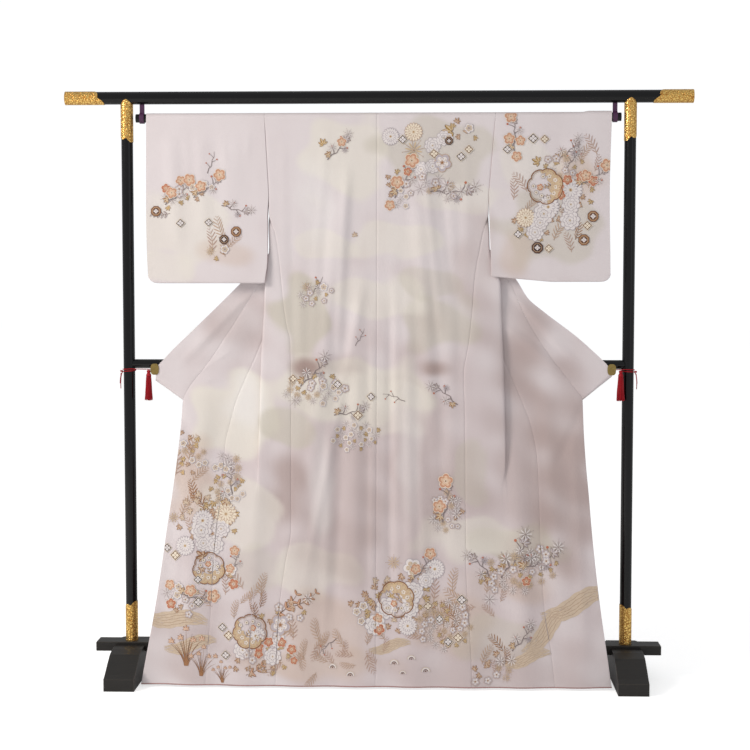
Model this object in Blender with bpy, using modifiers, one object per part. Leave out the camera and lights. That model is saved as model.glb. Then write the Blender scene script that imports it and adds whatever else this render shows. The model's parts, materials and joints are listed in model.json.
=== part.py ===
"""A pale kimono spread on a black lacquered kimono rack.

Metres, +Z up. The rack stands on the floor at z = 0 with its middle at the origin. The back of
the kimono faces -Y. A thin rod runs through both sleeves and the shoulders, so the back hangs in
front of the rod and the fronts hang behind it. Below the sleeves each front folds out to the side,
and the point of its collar is held by a clip that is tied to the post.

Every piece of cloth is a smooth sheet through a few named sections, thickened to a wall.
"Out" is a distance from the centre line, and the same tables serve both halves of the body.
"""

import math

import bmesh
import bpy
import numpy as np

LEFT, RIGHT = -1, 1

# Gaps and walls
GAP = 0.0003
SEAM_GAP = 0.0004
CLOTH = 0.002

# Rack
BAR_RADIUS = 0.018
BAR_HEIGHT = 1.654
BAR_LENGTH = 1.772
POST_RADIUS = 0.0165
POST_OUT = 0.711
MID_RADIUS = 0.013
MID_HEIGHT = 0.900
BEAM_LENGTH = 1.620
BEAM_DEPTH = 0.060
BEAM_BOTTOM = 0.072
BEAM_TOP = 0.099
FOOT_WIDTH = 0.085
FOOT_LENGTH = 0.410
FOOT_TOP = 0.090
FOOT_TOE = 0.034
FOOT_FLAT = 0.145
ROD_RADIUS = 0.012
ROD_HEIGHT = 1.597
ROD_LENGTH = 1.370
HOOK_OUT = 0.6675
HOOK_WIDTH = 0.013
HOOK_STRAP = 0.003

# Gold fittings
GOLD_WALL = 0.001
BAR_END_SHORT = 0.081
BAR_END_LONG = 0.107
POST_TOP_GOLD = 1.547
POST_BOTTOM_GOLD = 0.196
SCALLOP = 0.008
SCALLOP_SLANT = 0.012

# The cloth over the rod
OVER_ROD = ROD_RADIUS + 0.0005 + CLOTH / 2
BEHIND_ROD = 0.004
HEM_HEIGHT = 0.008
ARMHOLE_LOW = 1.380
LEAN = 0.150
LEAN_POWER = 1.6
LAYER = 0.008
SHORT_LEG = 0.010
OVERLAP_CLEAR = 0.0042

# The body on each side, one row for each height: how far out the side seam, the front's outer and
# inner folds, the seam between front and overlap, and the overlap's own edge lie.
BODY_COLUMNS = ("height", "side", "fold", "inner", "overlap", "edge")
BODY = {
    LEFT: (
        (1.597, 0.3185, 0.3145, 0.0865, 0.0825, 0.0845),
        (1.380, 0.3065, 0.3030, 0.0890, 0.0850, 0.0900),
        (1.330, 0.3063, 0.3050, 0.0980, 0.0970, 0.1370),
        (1.295, 0.2975, 0.3068, 0.1110, 0.1125, 0.1700),
        (1.270, 0.2880, 0.3060, 0.1240, 0.1270, 0.1940),
        (1.235, 0.2820, 0.3050, 0.1430, 0.1490, 0.2290),
        (1.185, 0.2755, 0.3100, 0.1730, 0.1940, 0.2790),
        (1.130, 0.2700, 0.3165, 0.2040, 0.2430, 0.3320),
        (1.057, 0.2625, 0.3191, 0.2420, 0.2920, 0.3810),
        (1.006, 0.2540, 0.3220, 0.2570, 0.3100, 0.4132),
        (0.967, 0.2450, 0.3244, 0.2680, 0.3270, 0.4390),
        (0.918, 0.2435, 0.3270, 0.2800, 0.3470, 0.4712),
        (0.880, 0.2430, 0.3280, 0.2896, 0.3648, 0.5000),
        (0.836, 0.2422, 0.3290, 0.3020, 0.3840, 0.5345),
        (0.799, 0.2417, 0.3300, 0.3107, 0.3990, 0.5513),
        (0.728, 0.2412, 0.3310, 0.3203, 0.4181, 0.5560),
        (0.680, 0.2408, 0.3320, 0.3265, 0.4290, 0.5604),
        (0.534, 0.2400, 0.3300, 0.3420, 0.4383, 0.5780),
        (0.442, 0.2394, 0.3290, 0.3560, 0.4500, 0.5915),
        (0.337, 0.2564, 0.3370, 0.3780, 0.4587, 0.6050),
        (0.205, 0.2721, 0.3480, 0.3870, 0.4640, 0.6240),
        (0.100, 0.2770, 0.3540, 0.3930, 0.4710, 0.6420),
        (HEM_HEIGHT, 0.2800, 0.3580, 0.3970, 0.4765, 0.6580),
    ),
    RIGHT: (
        (1.597, 0.3320, 0.3280, 0.0865, 0.0825, 0.0845),
        (1.380, 0.3145, 0.3110, 0.0890, 0.0850, 0.0900),
        (1.330, 0.3140, 0.3125, 0.0990, 0.0980, 0.1450),
        (1.295, 0.3050, 0.3140, 0.1130, 0.1145, 0.1850),
        (1.270, 0.2975, 0.3155, 0.1270, 0.1300, 0.2160),
        (1.235, 0.2911, 0.3165, 0.1480, 0.1540, 0.2620),
        (1.185, 0.2810, 0.3260, 0.1820, 0.1960, 0.3180),
        (1.130, 0.2740, 0.3470, 0.2200, 0.2310, 0.3754),
        (1.057, 0.2690, 0.3500, 0.2550, 0.2830, 0.4090),
        (1.007, 0.2640, 0.3522, 0.2740, 0.3110, 0.4349),
        (0.967, 0.2598, 0.3540, 0.2900, 0.3340, 0.4600),
        (0.918, 0.2510, 0.3564, 0.3068, 0.3569, 0.4930),
        (0.880, 0.2448, 0.3574, 0.3170, 0.3735, 0.5235),
        (0.841, 0.2452, 0.3584, 0.3290, 0.3910, 0.5530),
        (0.802, 0.2470, 0.3596, 0.3385, 0.4080, 0.5800),
        (0.722, 0.2488, 0.3610, 0.3524, 0.4368, 0.5823),
        (0.638, 0.2495, 0.3615, 0.3600, 0.4512, 0.5871),
        (0.534, 0.2500, 0.3500, 0.3680, 0.4560, 0.5960),
        (0.447, 0.2510, 0.3400, 0.3740, 0.4580, 0.6029),
        (0.342, 0.2519, 0.3400, 0.3800, 0.4625, 0.6130),
        (0.205, 0.2590, 0.3480, 0.3870, 0.4720, 0.6290),
        (0.100, 0.2660, 0.3580, 0.3980, 0.4895, 0.6440),
        (HEM_HEIGHT, 0.2690, 0.3630, 0.4030, 0.4990, 0.6570),
    ),
}

# How far back (+Y) the overlap's edge hangs at each height.
EDGE_DEPTH = (
    (1.370, 0.0050),
    (1.330, 0.0045),
    (1.300, 0.0020),
    (1.200, -0.0080),
    (1.130, -0.0140),
    (1.057, -0.0185),
    (0.967, -0.0250),
    (0.920, -0.0282),
    (0.850, -0.0290),
    (0.806, -0.0370),
    (0.680, -0.0580),
    (0.535, -0.0780),
    (0.337, -0.1060),
    (0.205, -0.1270),
    (HEM_HEIGHT, -0.1510),
)

# The collar, from the middle of the neck to its point. Round the neck it stands out behind, and it
# turns (degrees) until it lies flat and outward. Below that its rows start from the overlap's edge.
COLLAR_WIDTH = 0.044
COLLAR_DROP = 0.009
COLLAR_INSET = 0.0035
COLLAR_LIFT = 0.003
NECK = (  # seam_out, seam_height, turn
    (SEAM_GAP / 2, 1.5914, 0),
    (0.0400, 1.5914, 0),
    (0.0620, 1.5890, 0),
    (0.0755, 1.5790, 2),
    (0.0803, 1.5620, 5),
    (0.0808, 1.5300, 15),
    (0.0808, 1.4900, 35),
    (0.0810, 1.4500, 60),
    (0.0825, 1.4130, 82),
)
LAPEL_COLUMNS = ("seam_height", "edge_out", "edge_height")
LAPEL = {
    LEFT: (
        (1.380, 0.1500, 1.3850),
        (1.330, 0.1800, 1.3520),
        (1.270, 0.2250, 1.2980),
        (1.185, 0.3080, 1.2150),
        (1.130, 0.3620, 1.1570),
        (1.006, 0.4636, 1.0554),
        (0.918, 0.5351, 0.9864),
        (0.880, 0.5750, 0.9480),
        (0.836, 0.6080, 0.9130),
        (0.818, 0.6270, 0.8900),
        (0.799, 0.6310, 0.8540),
    ),
    RIGHT: (
        (1.380, 0.1500, 1.3850),
        (1.330, 0.1850, 1.3520),
        (1.270, 0.2460, 1.2980),
        (1.185, 0.3400, 1.2020),
        (1.130, 0.3940, 1.1390),
        (1.057, 0.4270, 1.0870),
        (1.007, 0.4720, 1.0490),
        (0.918, 0.5630, 0.9800),
        (0.880, 0.6050, 0.9430),
        (0.841, 0.6350, 0.9150),
        (0.820, 0.6520, 0.8970),
        (0.802, 0.6630, 0.8680),
    ),
}

# Sleeves: inner and outer edges at each height, and how far the sleeve swings forward of the back
# and how deep it is between its two layers.
SLEEVE_COLUMNS = ("height", "inner", "outer", "swing", "depth")
SLEEVE = {
    LEFT: (
        (1.612, 0.3194, 0.6540, 0.0000, 0.0270),
        (1.380, 0.3065, 0.6550, 0.0000, 0.0181),
        (1.320, 0.3092, 0.6545, 0.0022, 0.0150),
        (1.270, 0.3085, 0.6530, 0.0055, 0.0120),
        (1.200, 0.3085, 0.6500, 0.0100, 0.0070),
        (1.131, 0.3160, 0.6450, 0.0150, 0.0070),
    ),
    RIGHT: (
        (1.612, 0.3334, 0.6580, 0.0000, 0.0270),
        (1.380, 0.3145, 0.6530, 0.0000, 0.0181),
        (1.320, 0.3165, 0.6530, 0.0022, 0.0150),
        (1.270, 0.3180, 0.6535, 0.0055, 0.0120),
        (1.200, 0.3200, 0.6540, 0.0110, 0.0070),
        (1.131, 0.3220, 0.6540, 0.0160, 0.0070),
    ),
}
SLEEVE_BOTTOM = {LEFT: (1.131, 1.131), RIGHT: (1.150, 1.135)}
SLEEVE_CORNER = 0.020
RIGHT_SHOULDER_LIFT = 0.003
RIGHT_SHOULDER_OUT = 0.575

# Ridges in the cloth, one row each: top_x, top_z, low_x, low_z, rise, half_width.
BACK_RIDGES = (
    (-0.090, 1.50, -0.200, 0.42, 0.0070, 0.026),
    (-0.050, 1.28, -0.062, 0.20, 0.0035, 0.020),
    (-0.215, 1.22, -0.225, 0.30, 0.0045, 0.022),
    (0.107, 1.50, 0.168, 0.60, 0.0070, 0.026),
    (0.048, 1.30, 0.060, 0.20, 0.0040, 0.020),
    (0.205, 1.20, 0.222, 0.25, 0.0045, 0.024),
)
SLEEVE_RIDGES = (
    (0.585, 1.62, 0.500, 1.32, 0.0050, 0.020),
    (0.420, 1.60, 0.400, 1.20, 0.0020, 0.030),
    (-0.590, 1.60, -0.560, 1.20, 0.0025, 0.022),
    (-0.500, 1.60, -0.490, 1.25, 0.0025, 0.022),
    (-0.400, 1.62, -0.420, 1.30, 0.0020, 0.030),
)
WING_RIDGES = (
    (0.370, 1.12, 0.560, 0.93, 0.0030, 0.022),
    (0.350, 1.02, 0.520, 0.88, 0.0030, 0.022),
    (0.470, 0.90, 0.520, 0.10, 0.0050, 0.030),
    (0.390, 0.80, 0.420, 0.05, 0.0050, 0.028),
    (-0.370, 1.10, -0.540, 0.93, 0.0020, 0.022),
    (-0.480, 0.88, -0.540, 0.08, 0.0050, 0.030),
    (-0.330, 0.80, -0.350, 0.10, 0.0040, 0.026),
)

# Clips, ties and tassels
CLIP_OUT = {LEFT: 0.6330, RIGHT: 0.6620}
CLIP_HEIGHT = {LEFT: 0.8860, RIGHT: 0.8870}
CLIP_DEPTH = -0.0286
CLIP_WIDTH = 0.024
CLIP_TALL = 0.032
CLIP_SLOT = 0.0036
CLIP_PLATE = 0.0012
CLIP_BRIDGE = 0.003
TIE_RADIUS = 0.0015
TIE_DROP = 0.007
TIE_MEETS = -20
KNOT_RADIUS = 0.0045
KNOT_AIM = (0.0082, -0.0060, 0.0016)
TIE_STRAIGHT = 0.004
TASSEL_OUT = {LEFT: 0.6505, RIGHT: 0.6880}
TASSEL_LENGTH = 0.088
TASSEL_SECTORS = 12
TASSEL_RINGS = (0.0012, 0.0032, 0.0052)

COLOURS = {
    "silk": ((0.72, 0.66, 0.67), 0.55, 0.0),
    "lacquer": ((0.004, 0.004, 0.005), 0.12, 0.0),
    "foot_black": ((0.016, 0.015, 0.014), 0.55, 0.0),
    "gold": ((0.80, 0.45, 0.12), 0.30, 1.0),
    "hook": ((0.07, 0.02, 0.045), 0.40, 0.0),
    "clip": ((0.30, 0.22, 0.08), 0.35, 1.0),
    "red_cord": ((0.40, 0.003, 0.012), 0.60, 0.0),
}


def new_collection(name):
    collection = bpy.data.collections.new(name)
    bpy.context.scene.collection.children.link(collection)
    return collection


def clear_scene():
    for item in list(bpy.data.objects):
        bpy.data.objects.remove(item, do_unlink=True)


def finish_of(name):
    """One Principled material for each finish, made once."""
    if name in bpy.data.materials:
        return bpy.data.materials[name]
    colour, roughness, metallic = COLOURS[name]
    material = bpy.data.materials.new(name)
    material.use_nodes = True
    shader = material.node_tree.nodes["Principled BSDF"]
    shader.inputs["Base Color"].default_value = (*colour, 1.0)
    shader.inputs["Roughness"].default_value = roughness
    shader.inputs["Metallic"].default_value = metallic
    return material


def place(name, mesh, finish, collection):
    mesh.name = name
    piece = bpy.data.objects.new(name, mesh)
    piece.data.materials.clear()
    piece.data.materials.append(finish_of(finish))
    collection.objects.link(piece)
    return piece


def from_bmesh(name, shape, finish, collection):
    mesh = bpy.data.meshes.new(name)
    shape.to_mesh(mesh)
    shape.free()
    return place(name, mesh, finish, collection)


def smooth_round(piece, degrees=35):
    piece.data.shade_smooth()
    piece.data.set_sharp_from_angle(angle=math.radians(degrees))


def ease(value, start, end):
    """0 at start and 1 at end, level at both."""
    t = np.clip((value - start) / (end - start), 0.0, 1.0)
    return t * t * (3 - 2 * t)


def follow(rows, at, column=1):
    """A smooth curve through one column of a table over its first column, read at `at`.

    It is a cubic between rows. Its slope at a row is the harmonic mean of the slopes on both
    sides, and nothing where they turn, so it never overshoots a row.
    """
    table = np.array(sorted(rows), float)
    x, y = table[:, 0], table[:, column]
    chord = np.diff(y) / np.diff(x)
    before, after = chord[:-1], chord[1:]
    turning = before * after <= 0
    total = np.where(turning, 1.0, before + after)
    inner = np.where(turning, 0.0, 2 * before * after / total)
    slope = np.concatenate([chord[:1], inner, chord[-1:]])
    at = np.clip(at, x[0], x[-1])
    k = np.clip(np.searchsorted(x, at) - 1, 0, len(x) - 2)
    width = x[k + 1] - x[k]
    t = (at - x[k]) / width
    return (
        y[k] * (1 + 2 * t) * (1 - t) ** 2
        + width * slope[k] * t * (1 - t) ** 2
        + y[k + 1] * t * t * (3 - 2 * t)
        + width * slope[k + 1] * t * t * (t - 1)
    )


def body_line(side, column, height):
    return follow(BODY[side], height, BODY_COLUMNS.index(column))


def lapel_line(side, column, height):
    return follow(LAPEL[side], height, LAPEL_COLUMNS.index(column))


def sleeve_line(side, column, height):
    return follow(SLEEVE[side], height, SLEEVE_COLUMNS.index(column))


def back_depth(height):
    """The back leans towards the viewer on its way down, more and more."""
    drop = np.clip(1 - height / ROD_HEIGHT, 0, None)
    return -OVER_ROD - LEAN * drop**LEAN_POWER


def layer_gap(height):
    """From the back to the front behind it: the rod's width at the top, a fold's width below."""
    spread = np.clip((height - 1.13) / (ROD_HEIGHT - 1.13), 0, 1)
    return LAYER + (2 * OVER_ROD - LAYER) * spread


def front_depth(height):
    return back_depth(height) + layer_gap(height)


def edge_depth(height):
    low = follow(EDGE_DEPTH, height)
    top = front_depth(height) + COLLAR_INSET
    return low + (top - low) * ease(height, 1.330, 1.370)


def ridges(table, x, z):
    """The sum of soft straight ridges, each a bell across its line that fades at both ends."""
    total = np.zeros(np.broadcast(x, z).shape)
    for top_x, top_z, low_x, low_z, rise, half_width in table:
        along = (top_z - z) / (top_z - low_z)
        line = top_x + (low_x - top_x) * along
        fade = ease(along, 0.0, 0.25) * ease(along, 1.0, 0.75)
        total = total + rise * fade * np.exp(-(((x - line) / half_width) ** 2))
    return total


def drape(x, z):
    """Soft hanging folds that the fronts, overlaps and collar share. Forward is negative."""
    wave = 0.003 * ease(z, 0.75, 0.15) * np.sin(2 * math.pi * x / 0.155 + 0.6)
    free = 1 - ease(np.abs(x), 0.545, 0.585) * ease(z, 0.80, 0.84)
    return (wave - ridges(WING_RIDGES, x, z)) * free


def rows_of(side, top):
    """The heights at which one half is sectioned: its table's rows, and one between distant ones."""
    heights = [row[0] for row in BODY[side]]
    rows = [heights[0]]
    for low, high in zip(heights[1:], heights[:-1]):
        if high - low > 0.12 and high <= ARMHOLE_LOW:
            rows.append((low + high) / 2)
        if high > ARMHOLE_LOW:
            rows.extend(high + (low - high) * k / 4 for k in (1, 2, 3))
        rows.append(low)
    rows = np.array(rows)
    rows[0] -= BEHIND_ROD + GAP
    return rows[rows <= top]


def base_depth(side, out, height):
    """From the back's depth at the side seam to the edge's depth at the overlap's edge."""
    start, end = body_line(side, "side", height), body_line(side, "edge", height)
    share = np.clip((out - start) / np.maximum(end - start, 0.1), 0, 1) ** 1.5
    reach = (edge_depth(height) - back_depth(height)) * share * ease(height, 1.13, 0.97)
    return back_depth(height) + reach + drape(side * out, height)


def closing(height):
    """The front's folds close on the way down."""
    return ease(height, 0.50, 0.72)


def step_share(place_along, middle, half=0.2):
    return ease(place_along, middle - half, middle + half)


def grid_object(name, points, finish, collection, wrap=False):
    """A sheet through a grid of points, thickened evenly on both sides to a wall."""
    rows, columns = points.shape[:2]
    index = np.arange(rows * columns).reshape(rows, columns)
    if wrap:
        index = np.concatenate([index, index[:1]], axis=0)
    quads = np.stack([index[:-1, :-1], index[1:, :-1], index[1:, 1:], index[:-1, 1:]], axis=-1)
    mesh = bpy.data.meshes.new(name)
    mesh.from_pydata(points.reshape(-1, 3).tolist(), [], quads.reshape(-1, 4).tolist())
    piece = place(name, mesh, finish, collection)
    wall = piece.modifiers.new("wall", "SOLIDIFY")
    wall.thickness = CLOTH
    wall.offset = 0.0
    piece.data.shade_smooth()
    return piece


def back_panel(name, side, collection):
    """From behind the rod, over it and down to the hem, between centre seam and side seam."""
    angles = np.radians(np.linspace(90, -90, 7))
    below = rows_of(side, 1.56)
    over = ROD_HEIGHT + OVER_ROD * np.cos(angles)
    heights = np.concatenate([[ROD_HEIGHT - BEHIND_ROD], over, below])
    depths = np.concatenate([[OVER_ROD], OVER_ROD * np.sin(angles), back_depth(below)])
    across = np.linspace(0, 1, 13)
    side_line = body_line(side, "side", np.minimum(heights, ROD_HEIGHT))
    arm = armhole(side, heights)
    side_line = np.where(heights >= ARMHOLE_LOW, arm, side_line) - SEAM_GAP / 2
    out = SEAM_GAP / 2 + (side_line[:, None] - SEAM_GAP / 2) * across[None, :]
    z = np.repeat(heights[:, None], len(across), axis=1)
    x = side * out
    fade = 1 - across[None, :] ** 6
    y = depths[:, None] + drape(x, z) - ridges(BACK_RIDGES, x, z) * fade
    return grid_object(name, np.stack([x, y, z], -1), "silk", collection)


def armhole(side, height):
    """The armhole seam runs straight from the shoulder to its low end."""
    top, low = SLEEVE[side][0], SLEEVE[side][1]
    share = (height - low[0]) / (top[0] - low[0])
    return low[1] + (top[1] - low[1]) * share


def front_panel(name, side, collection):
    """Between side seam and overlap seam: out to a fold, back in behind it, and out again."""
    heights = rows_of(side, ROD_HEIGHT)
    along = np.array([0, 0.35, 0.7, 0.9, 1, 1.1, 1.35, 1.65, 1.9, 2, 2.1, 2.4, 2.7, 3])
    lines = [body_line(side, key, heights) for key in ("side", "fold", "inner", "overlap")]
    arm = armhole(side, heights)
    high = heights >= ARMHOLE_LOW
    lines[0] = np.where(high, arm, lines[0]) + SEAM_GAP / 2
    lines[0] = np.where(high, lines[0] - SEAM_GAP, lines[0])
    lines[3] = lines[3] - SEAM_GAP / 2 * np.sign(lines[3] - lines[2])
    out = np.array(
        [
            follow([(k, line[row]) for k, line in enumerate(lines)], along)
            for row in range(len(heights))
        ]
    )
    z = np.repeat(heights[:, None], len(along), axis=1)
    s = along[None, :]
    legs = np.diff(np.array(lines), axis=0)[:, :, None]
    short = np.exp(-((legs / SHORT_LEG) ** 2)) * np.array([0.55, 1.0, 0.55])[:, None, None]
    first = step_share(s, 1) + short[0] * (ease(s, 0, 1.1) - step_share(s, 1))
    first = first + short[1] * (ease(s, 0.7, 1.7) - first)
    second = step_share(s, 2) + short[2] * (ease(s, 1.9, 3) - step_share(s, 2))
    second = second + short[1] * (ease(s, 1.3, 2.3) - second)
    first = layer_gap(z) * (1 - ease(z, 1.345, 1.285) * (1 - first))
    second = LAYER * ease(z, 1.37, 1.32) * second
    y = base_depth(side, out, z) + (first + second) * closing(z)
    return grid_object(name, np.stack([side * out, y, z], -1), "silk", collection)


def overlap_panel(name, side, collection):
    """The okumi, from the front's seam to the collar's seam and then to the front edge."""
    heights = rows_of(side, ARMHOLE_LOW)
    across = np.linspace(0, 1, 6)
    last_leg = body_line(side, "overlap", heights) - body_line(side, "inner", heights)
    curled = np.exp(-((last_leg / SHORT_LEG) ** 2))
    start = body_line(side, "overlap", heights) + SEAM_GAP / 2 + 0.7 * CLOTH * curled
    end = body_line(side, "edge", heights) - SEAM_GAP / 2
    out = start[:, None] + (end - start)[:, None] * across[None, :]
    z = np.repeat(heights[:, None], len(across), axis=1)
    u = ease(across, 0, 1)[None, :]
    behind = (layer_gap(z) + np.maximum(LAYER * ease(z, 1.37, 1.32), OVERLAP_CLEAR)) * closing(z)
    edge = np.repeat(body_line(side, "edge", heights)[:, None], len(across), axis=1)
    rest = edge_depth(z) + drape(side * edge, z) - base_depth(side, edge, z)
    y = base_depth(side, out, z) + behind * (1 - u) + rest * u
    return grid_object(name, np.stack([side * out, y, z], -1), "silk", collection)


def collar_band(name, side, collection):
    """A band from the neck to the point, each row straight from its seam to its free edge."""
    seam_end = LAPEL[side][-1][0]
    heights = rows_of(side, ARMHOLE_LOW)
    heights = np.append(heights[heights >= seam_end], LAPEL[side][-2][0])
    heights = np.sort(heights)[::-1]
    neck_out, neck_height, turn = np.array(NECK).T
    turn = np.radians(turn)
    stand = np.append(COLLAR_WIDTH * np.cos(turn), np.zeros(len(heights)))[:, None]
    seam_out = np.append(neck_out, body_line(side, "edge", heights) + SEAM_GAP / 2)
    seam_height = np.append(neck_height, heights)
    edge_out = neck_out + COLLAR_WIDTH * np.sin(turn)
    edge_out = np.append(edge_out, lapel_line(side, "edge_out", heights))
    edge_height = neck_height - COLLAR_DROP * np.cos(turn)
    edge_height = np.append(edge_height, lapel_line(side, "edge_height", heights))
    across = np.linspace(0, 1, 5)[None, :]
    out = seam_out[:, None] + (edge_out - seam_out)[:, None] * across
    z = seam_height[:, None] + (edge_height - seam_height)[:, None] * across
    start = edge_depth(z) - COLLAR_INSET * stand / COLLAR_WIDTH
    lift = COLLAR_LIFT * across * ease(z, 1.20, 1.35)
    y = start + stand * across + lift + drape(side * out, z)
    return grid_object(name, np.stack([side * out, y, z], -1), "silk", collection)


def sleeve(name, side, collection):
    """A flat tube round the rod, from armhole to cuff: its ring goes up the far layer, over the
    rod, down the near layer and round the bottom fold."""
    lowest = dict(zip(SLEEVE_COLUMNS, SLEEVE[side][-1]))
    share = np.array([0, 0.1, 0.2, 0.32, 0.44, 0.56, 0.68, 0.8, 0.9, 0.95, 0.975, 1.0])
    fold_out = lowest["inner"] + (lowest["outer"] - lowest["inner"]) * share
    corner = np.clip(1 - (lowest["outer"] - fold_out) / SLEEVE_CORNER, 0, 1)
    inner_low, outer_low = SLEEVE_BOTTOM[side]
    bottom = inner_low + (outer_low - inner_low) * np.minimum(share * 2, 1)
    bottom = bottom + SLEEVE_CORNER * (1 - np.sqrt(1 - (corner * 0.999) ** 2))
    up = np.array([0.0, 0.06, 0.15, 0.3, 0.45, 0.527, 0.66, 0.8, 0.93])
    fold = np.radians([-60, 0, 60])
    arc = np.radians([90, 60, 30, 0, -30, -60, -90])
    rings = []
    for station, low in zip(share, bottom):
        radius = sleeve_line(side, "depth", low) / 2
        climb = low + radius + (ROD_HEIGHT - low - radius) * up
        near = back_depth(climb) - sleeve_line(side, "swing", climb)
        far = near + sleeve_line(side, "depth", climb)
        far = np.where(climb >= ARMHOLE_LOW, front_depth(climb), far)
        centre = (far[0] + near[0]) / 2
        y = np.concatenate(
            [far, OVER_ROD * np.sin(arc), near[::-1], centre + radius * np.sin(fold)]
        )
        z = np.concatenate(
            [
                climb,
                ROD_HEIGHT + OVER_ROD * np.cos(arc),
                climb[::-1],
                low + radius * (1 - np.cos(fold)),
            ]
        )
        inner = np.where(z >= ARMHOLE_LOW, armhole(side, z), sleeve_line(side, "inner", z))
        inner = inner + SEAM_GAP / 2
        out = inner + (sleeve_line(side, "outer", z) - inner) * station
        if side == RIGHT:
            lift = RIGHT_SHOULDER_LIFT * ease(out, RIGHT_SHOULDER_OUT, RIGHT_SHOULDER_OUT + 0.02)
            z = z + lift * ease(z, ROD_HEIGHT, ROD_HEIGHT + OVER_ROD)
        hanging = ease(z, 1.58, 1.50) * ease(station, 0.0, 0.12)
        y = y - ridges(SLEEVE_RIDGES, side * out, z) * hanging
        rings.append(np.stack([side * out, y, z], -1))
    points = np.stack(rings, axis=1)
    return grid_object(name, points, "silk", collection, wrap=True)


def cylinder(radius, length, sides):
    """A bmesh cylinder along X, centred."""
    shape = bmesh.new()
    bmesh.ops.create_cone(
        shape, cap_ends=True, segments=sides, radius1=radius, radius2=radius, depth=length
    )
    turn_to_x(shape)
    return shape


def turn_to_x(shape):
    for vertex in shape.verts:
        x, y, z = vertex.co
        vertex.co = (z, y, -x)


def shift(shape, x=0.0, y=0.0, z=0.0):
    bmesh.ops.translate(shape, verts=shape.verts[:], vec=(x, y, z))


def cut(piece, cutter, operation="DIFFERENCE"):
    cutter.hide_render = True
    cutter.display_type = "WIRE"
    change = piece.modifiers.new(cutter.name, "BOOLEAN")
    change.operation = operation
    change.solver = "EXACT"
    change.object = cutter


def round_bars(parts, cutters):
    """The top bar, middle bar and hanging rod along X."""
    bar = cylinder(BAR_RADIUS, BAR_LENGTH - 2 * (GOLD_WALL + GAP), 32)
    shift(bar, z=BAR_HEIGHT)
    smooth_round(from_bmesh("top_bar", bar, "lacquer", parts))

    rod = cylinder(ROD_RADIUS, ROD_LENGTH, 24)
    shift(rod, z=ROD_HEIGHT)
    smooth_round(from_bmesh("hanging_rod", rod, "lacquer", parts))

    mid = cylinder(MID_RADIUS, 2 * POST_OUT, 24)
    shift(mid, z=MID_HEIGHT)
    piece = from_bmesh("middle_bar", mid, "lacquer", parts)
    for side, word in ((LEFT, "left"), (RIGHT, "right")):
        around = bmesh.new()
        reach = POST_RADIUS + GAP
        bmesh.ops.create_cone(
            around, cap_ends=True, segments=32, radius1=reach, radius2=reach, depth=0.2
        )
        shift(around, x=side * POST_OUT, z=MID_HEIGHT)
        cut(piece, from_bmesh(f"post_room_{word}", around, "lacquer", cutters))
    smooth_round(piece)


def post(word, side, parts, cutters):
    """A round post that stands on the beam and is coped under the top bar."""
    low, high = BEAM_TOP + GAP, BAR_HEIGHT
    shape = bmesh.new()
    bmesh.ops.create_cone(
        shape,
        cap_ends=True,
        segments=32,
        radius1=POST_RADIUS,
        radius2=POST_RADIUS,
        depth=high - low,
    )
    shift(shape, x=side * POST_OUT, z=(low + high) / 2)
    piece = from_bmesh(f"post_{word}", shape, "lacquer", parts)
    room = cylinder(BAR_RADIUS + GAP, 0.1, 32)
    shift(room, x=side * POST_OUT, z=BAR_HEIGHT)
    cut(piece, from_bmesh(f"bar_room_{word}", room, "lacquer", cutters))
    smooth_round(piece)
    return piece


def ring_shape(rings, close_profile):
    """A turned shape from rings of points, welded where a ring shrinks to its middle."""
    points = np.stack(rings)
    count, sides = points.shape[:2]
    index = np.arange(count * sides).reshape(count, sides)
    index = np.concatenate([index, index[:, :1]], axis=1)
    if close_profile:
        index = np.concatenate([index, index[:1]], axis=0)
    shape = bmesh.new()
    verts = [shape.verts.new(p) for p in points.reshape(-1, 3)]
    for row in range(len(index) - 1):
        for k in range(sides):
            corners = (index[row, k], index[row, k + 1], index[row + 1, k + 1], index[row + 1, k])
            shape.faces.new([verts[c] for c in corners])
    bmesh.ops.remove_doubles(shape, verts=shape.verts[:], dist=0.00001)
    bmesh.ops.dissolve_degenerate(shape, edges=shape.edges[:], dist=0.00001)
    bmesh.ops.recalc_face_normals(shape, faces=shape.faces[:])
    return shape


def scallop(angle, lean_angle, slant):
    """A cusped edge: four round lobes, and a slant that reaches furthest at lean_angle."""
    lobes = SCALLOP * np.abs(np.sin(2 * angle))
    return lobes + slant * (1 + np.cos(angle - lean_angle)) / 2


def ring(radius, angle, height):
    return np.stack([radius * np.cos(angle), radius * np.sin(angle), height + 0 * angle], -1)


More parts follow.
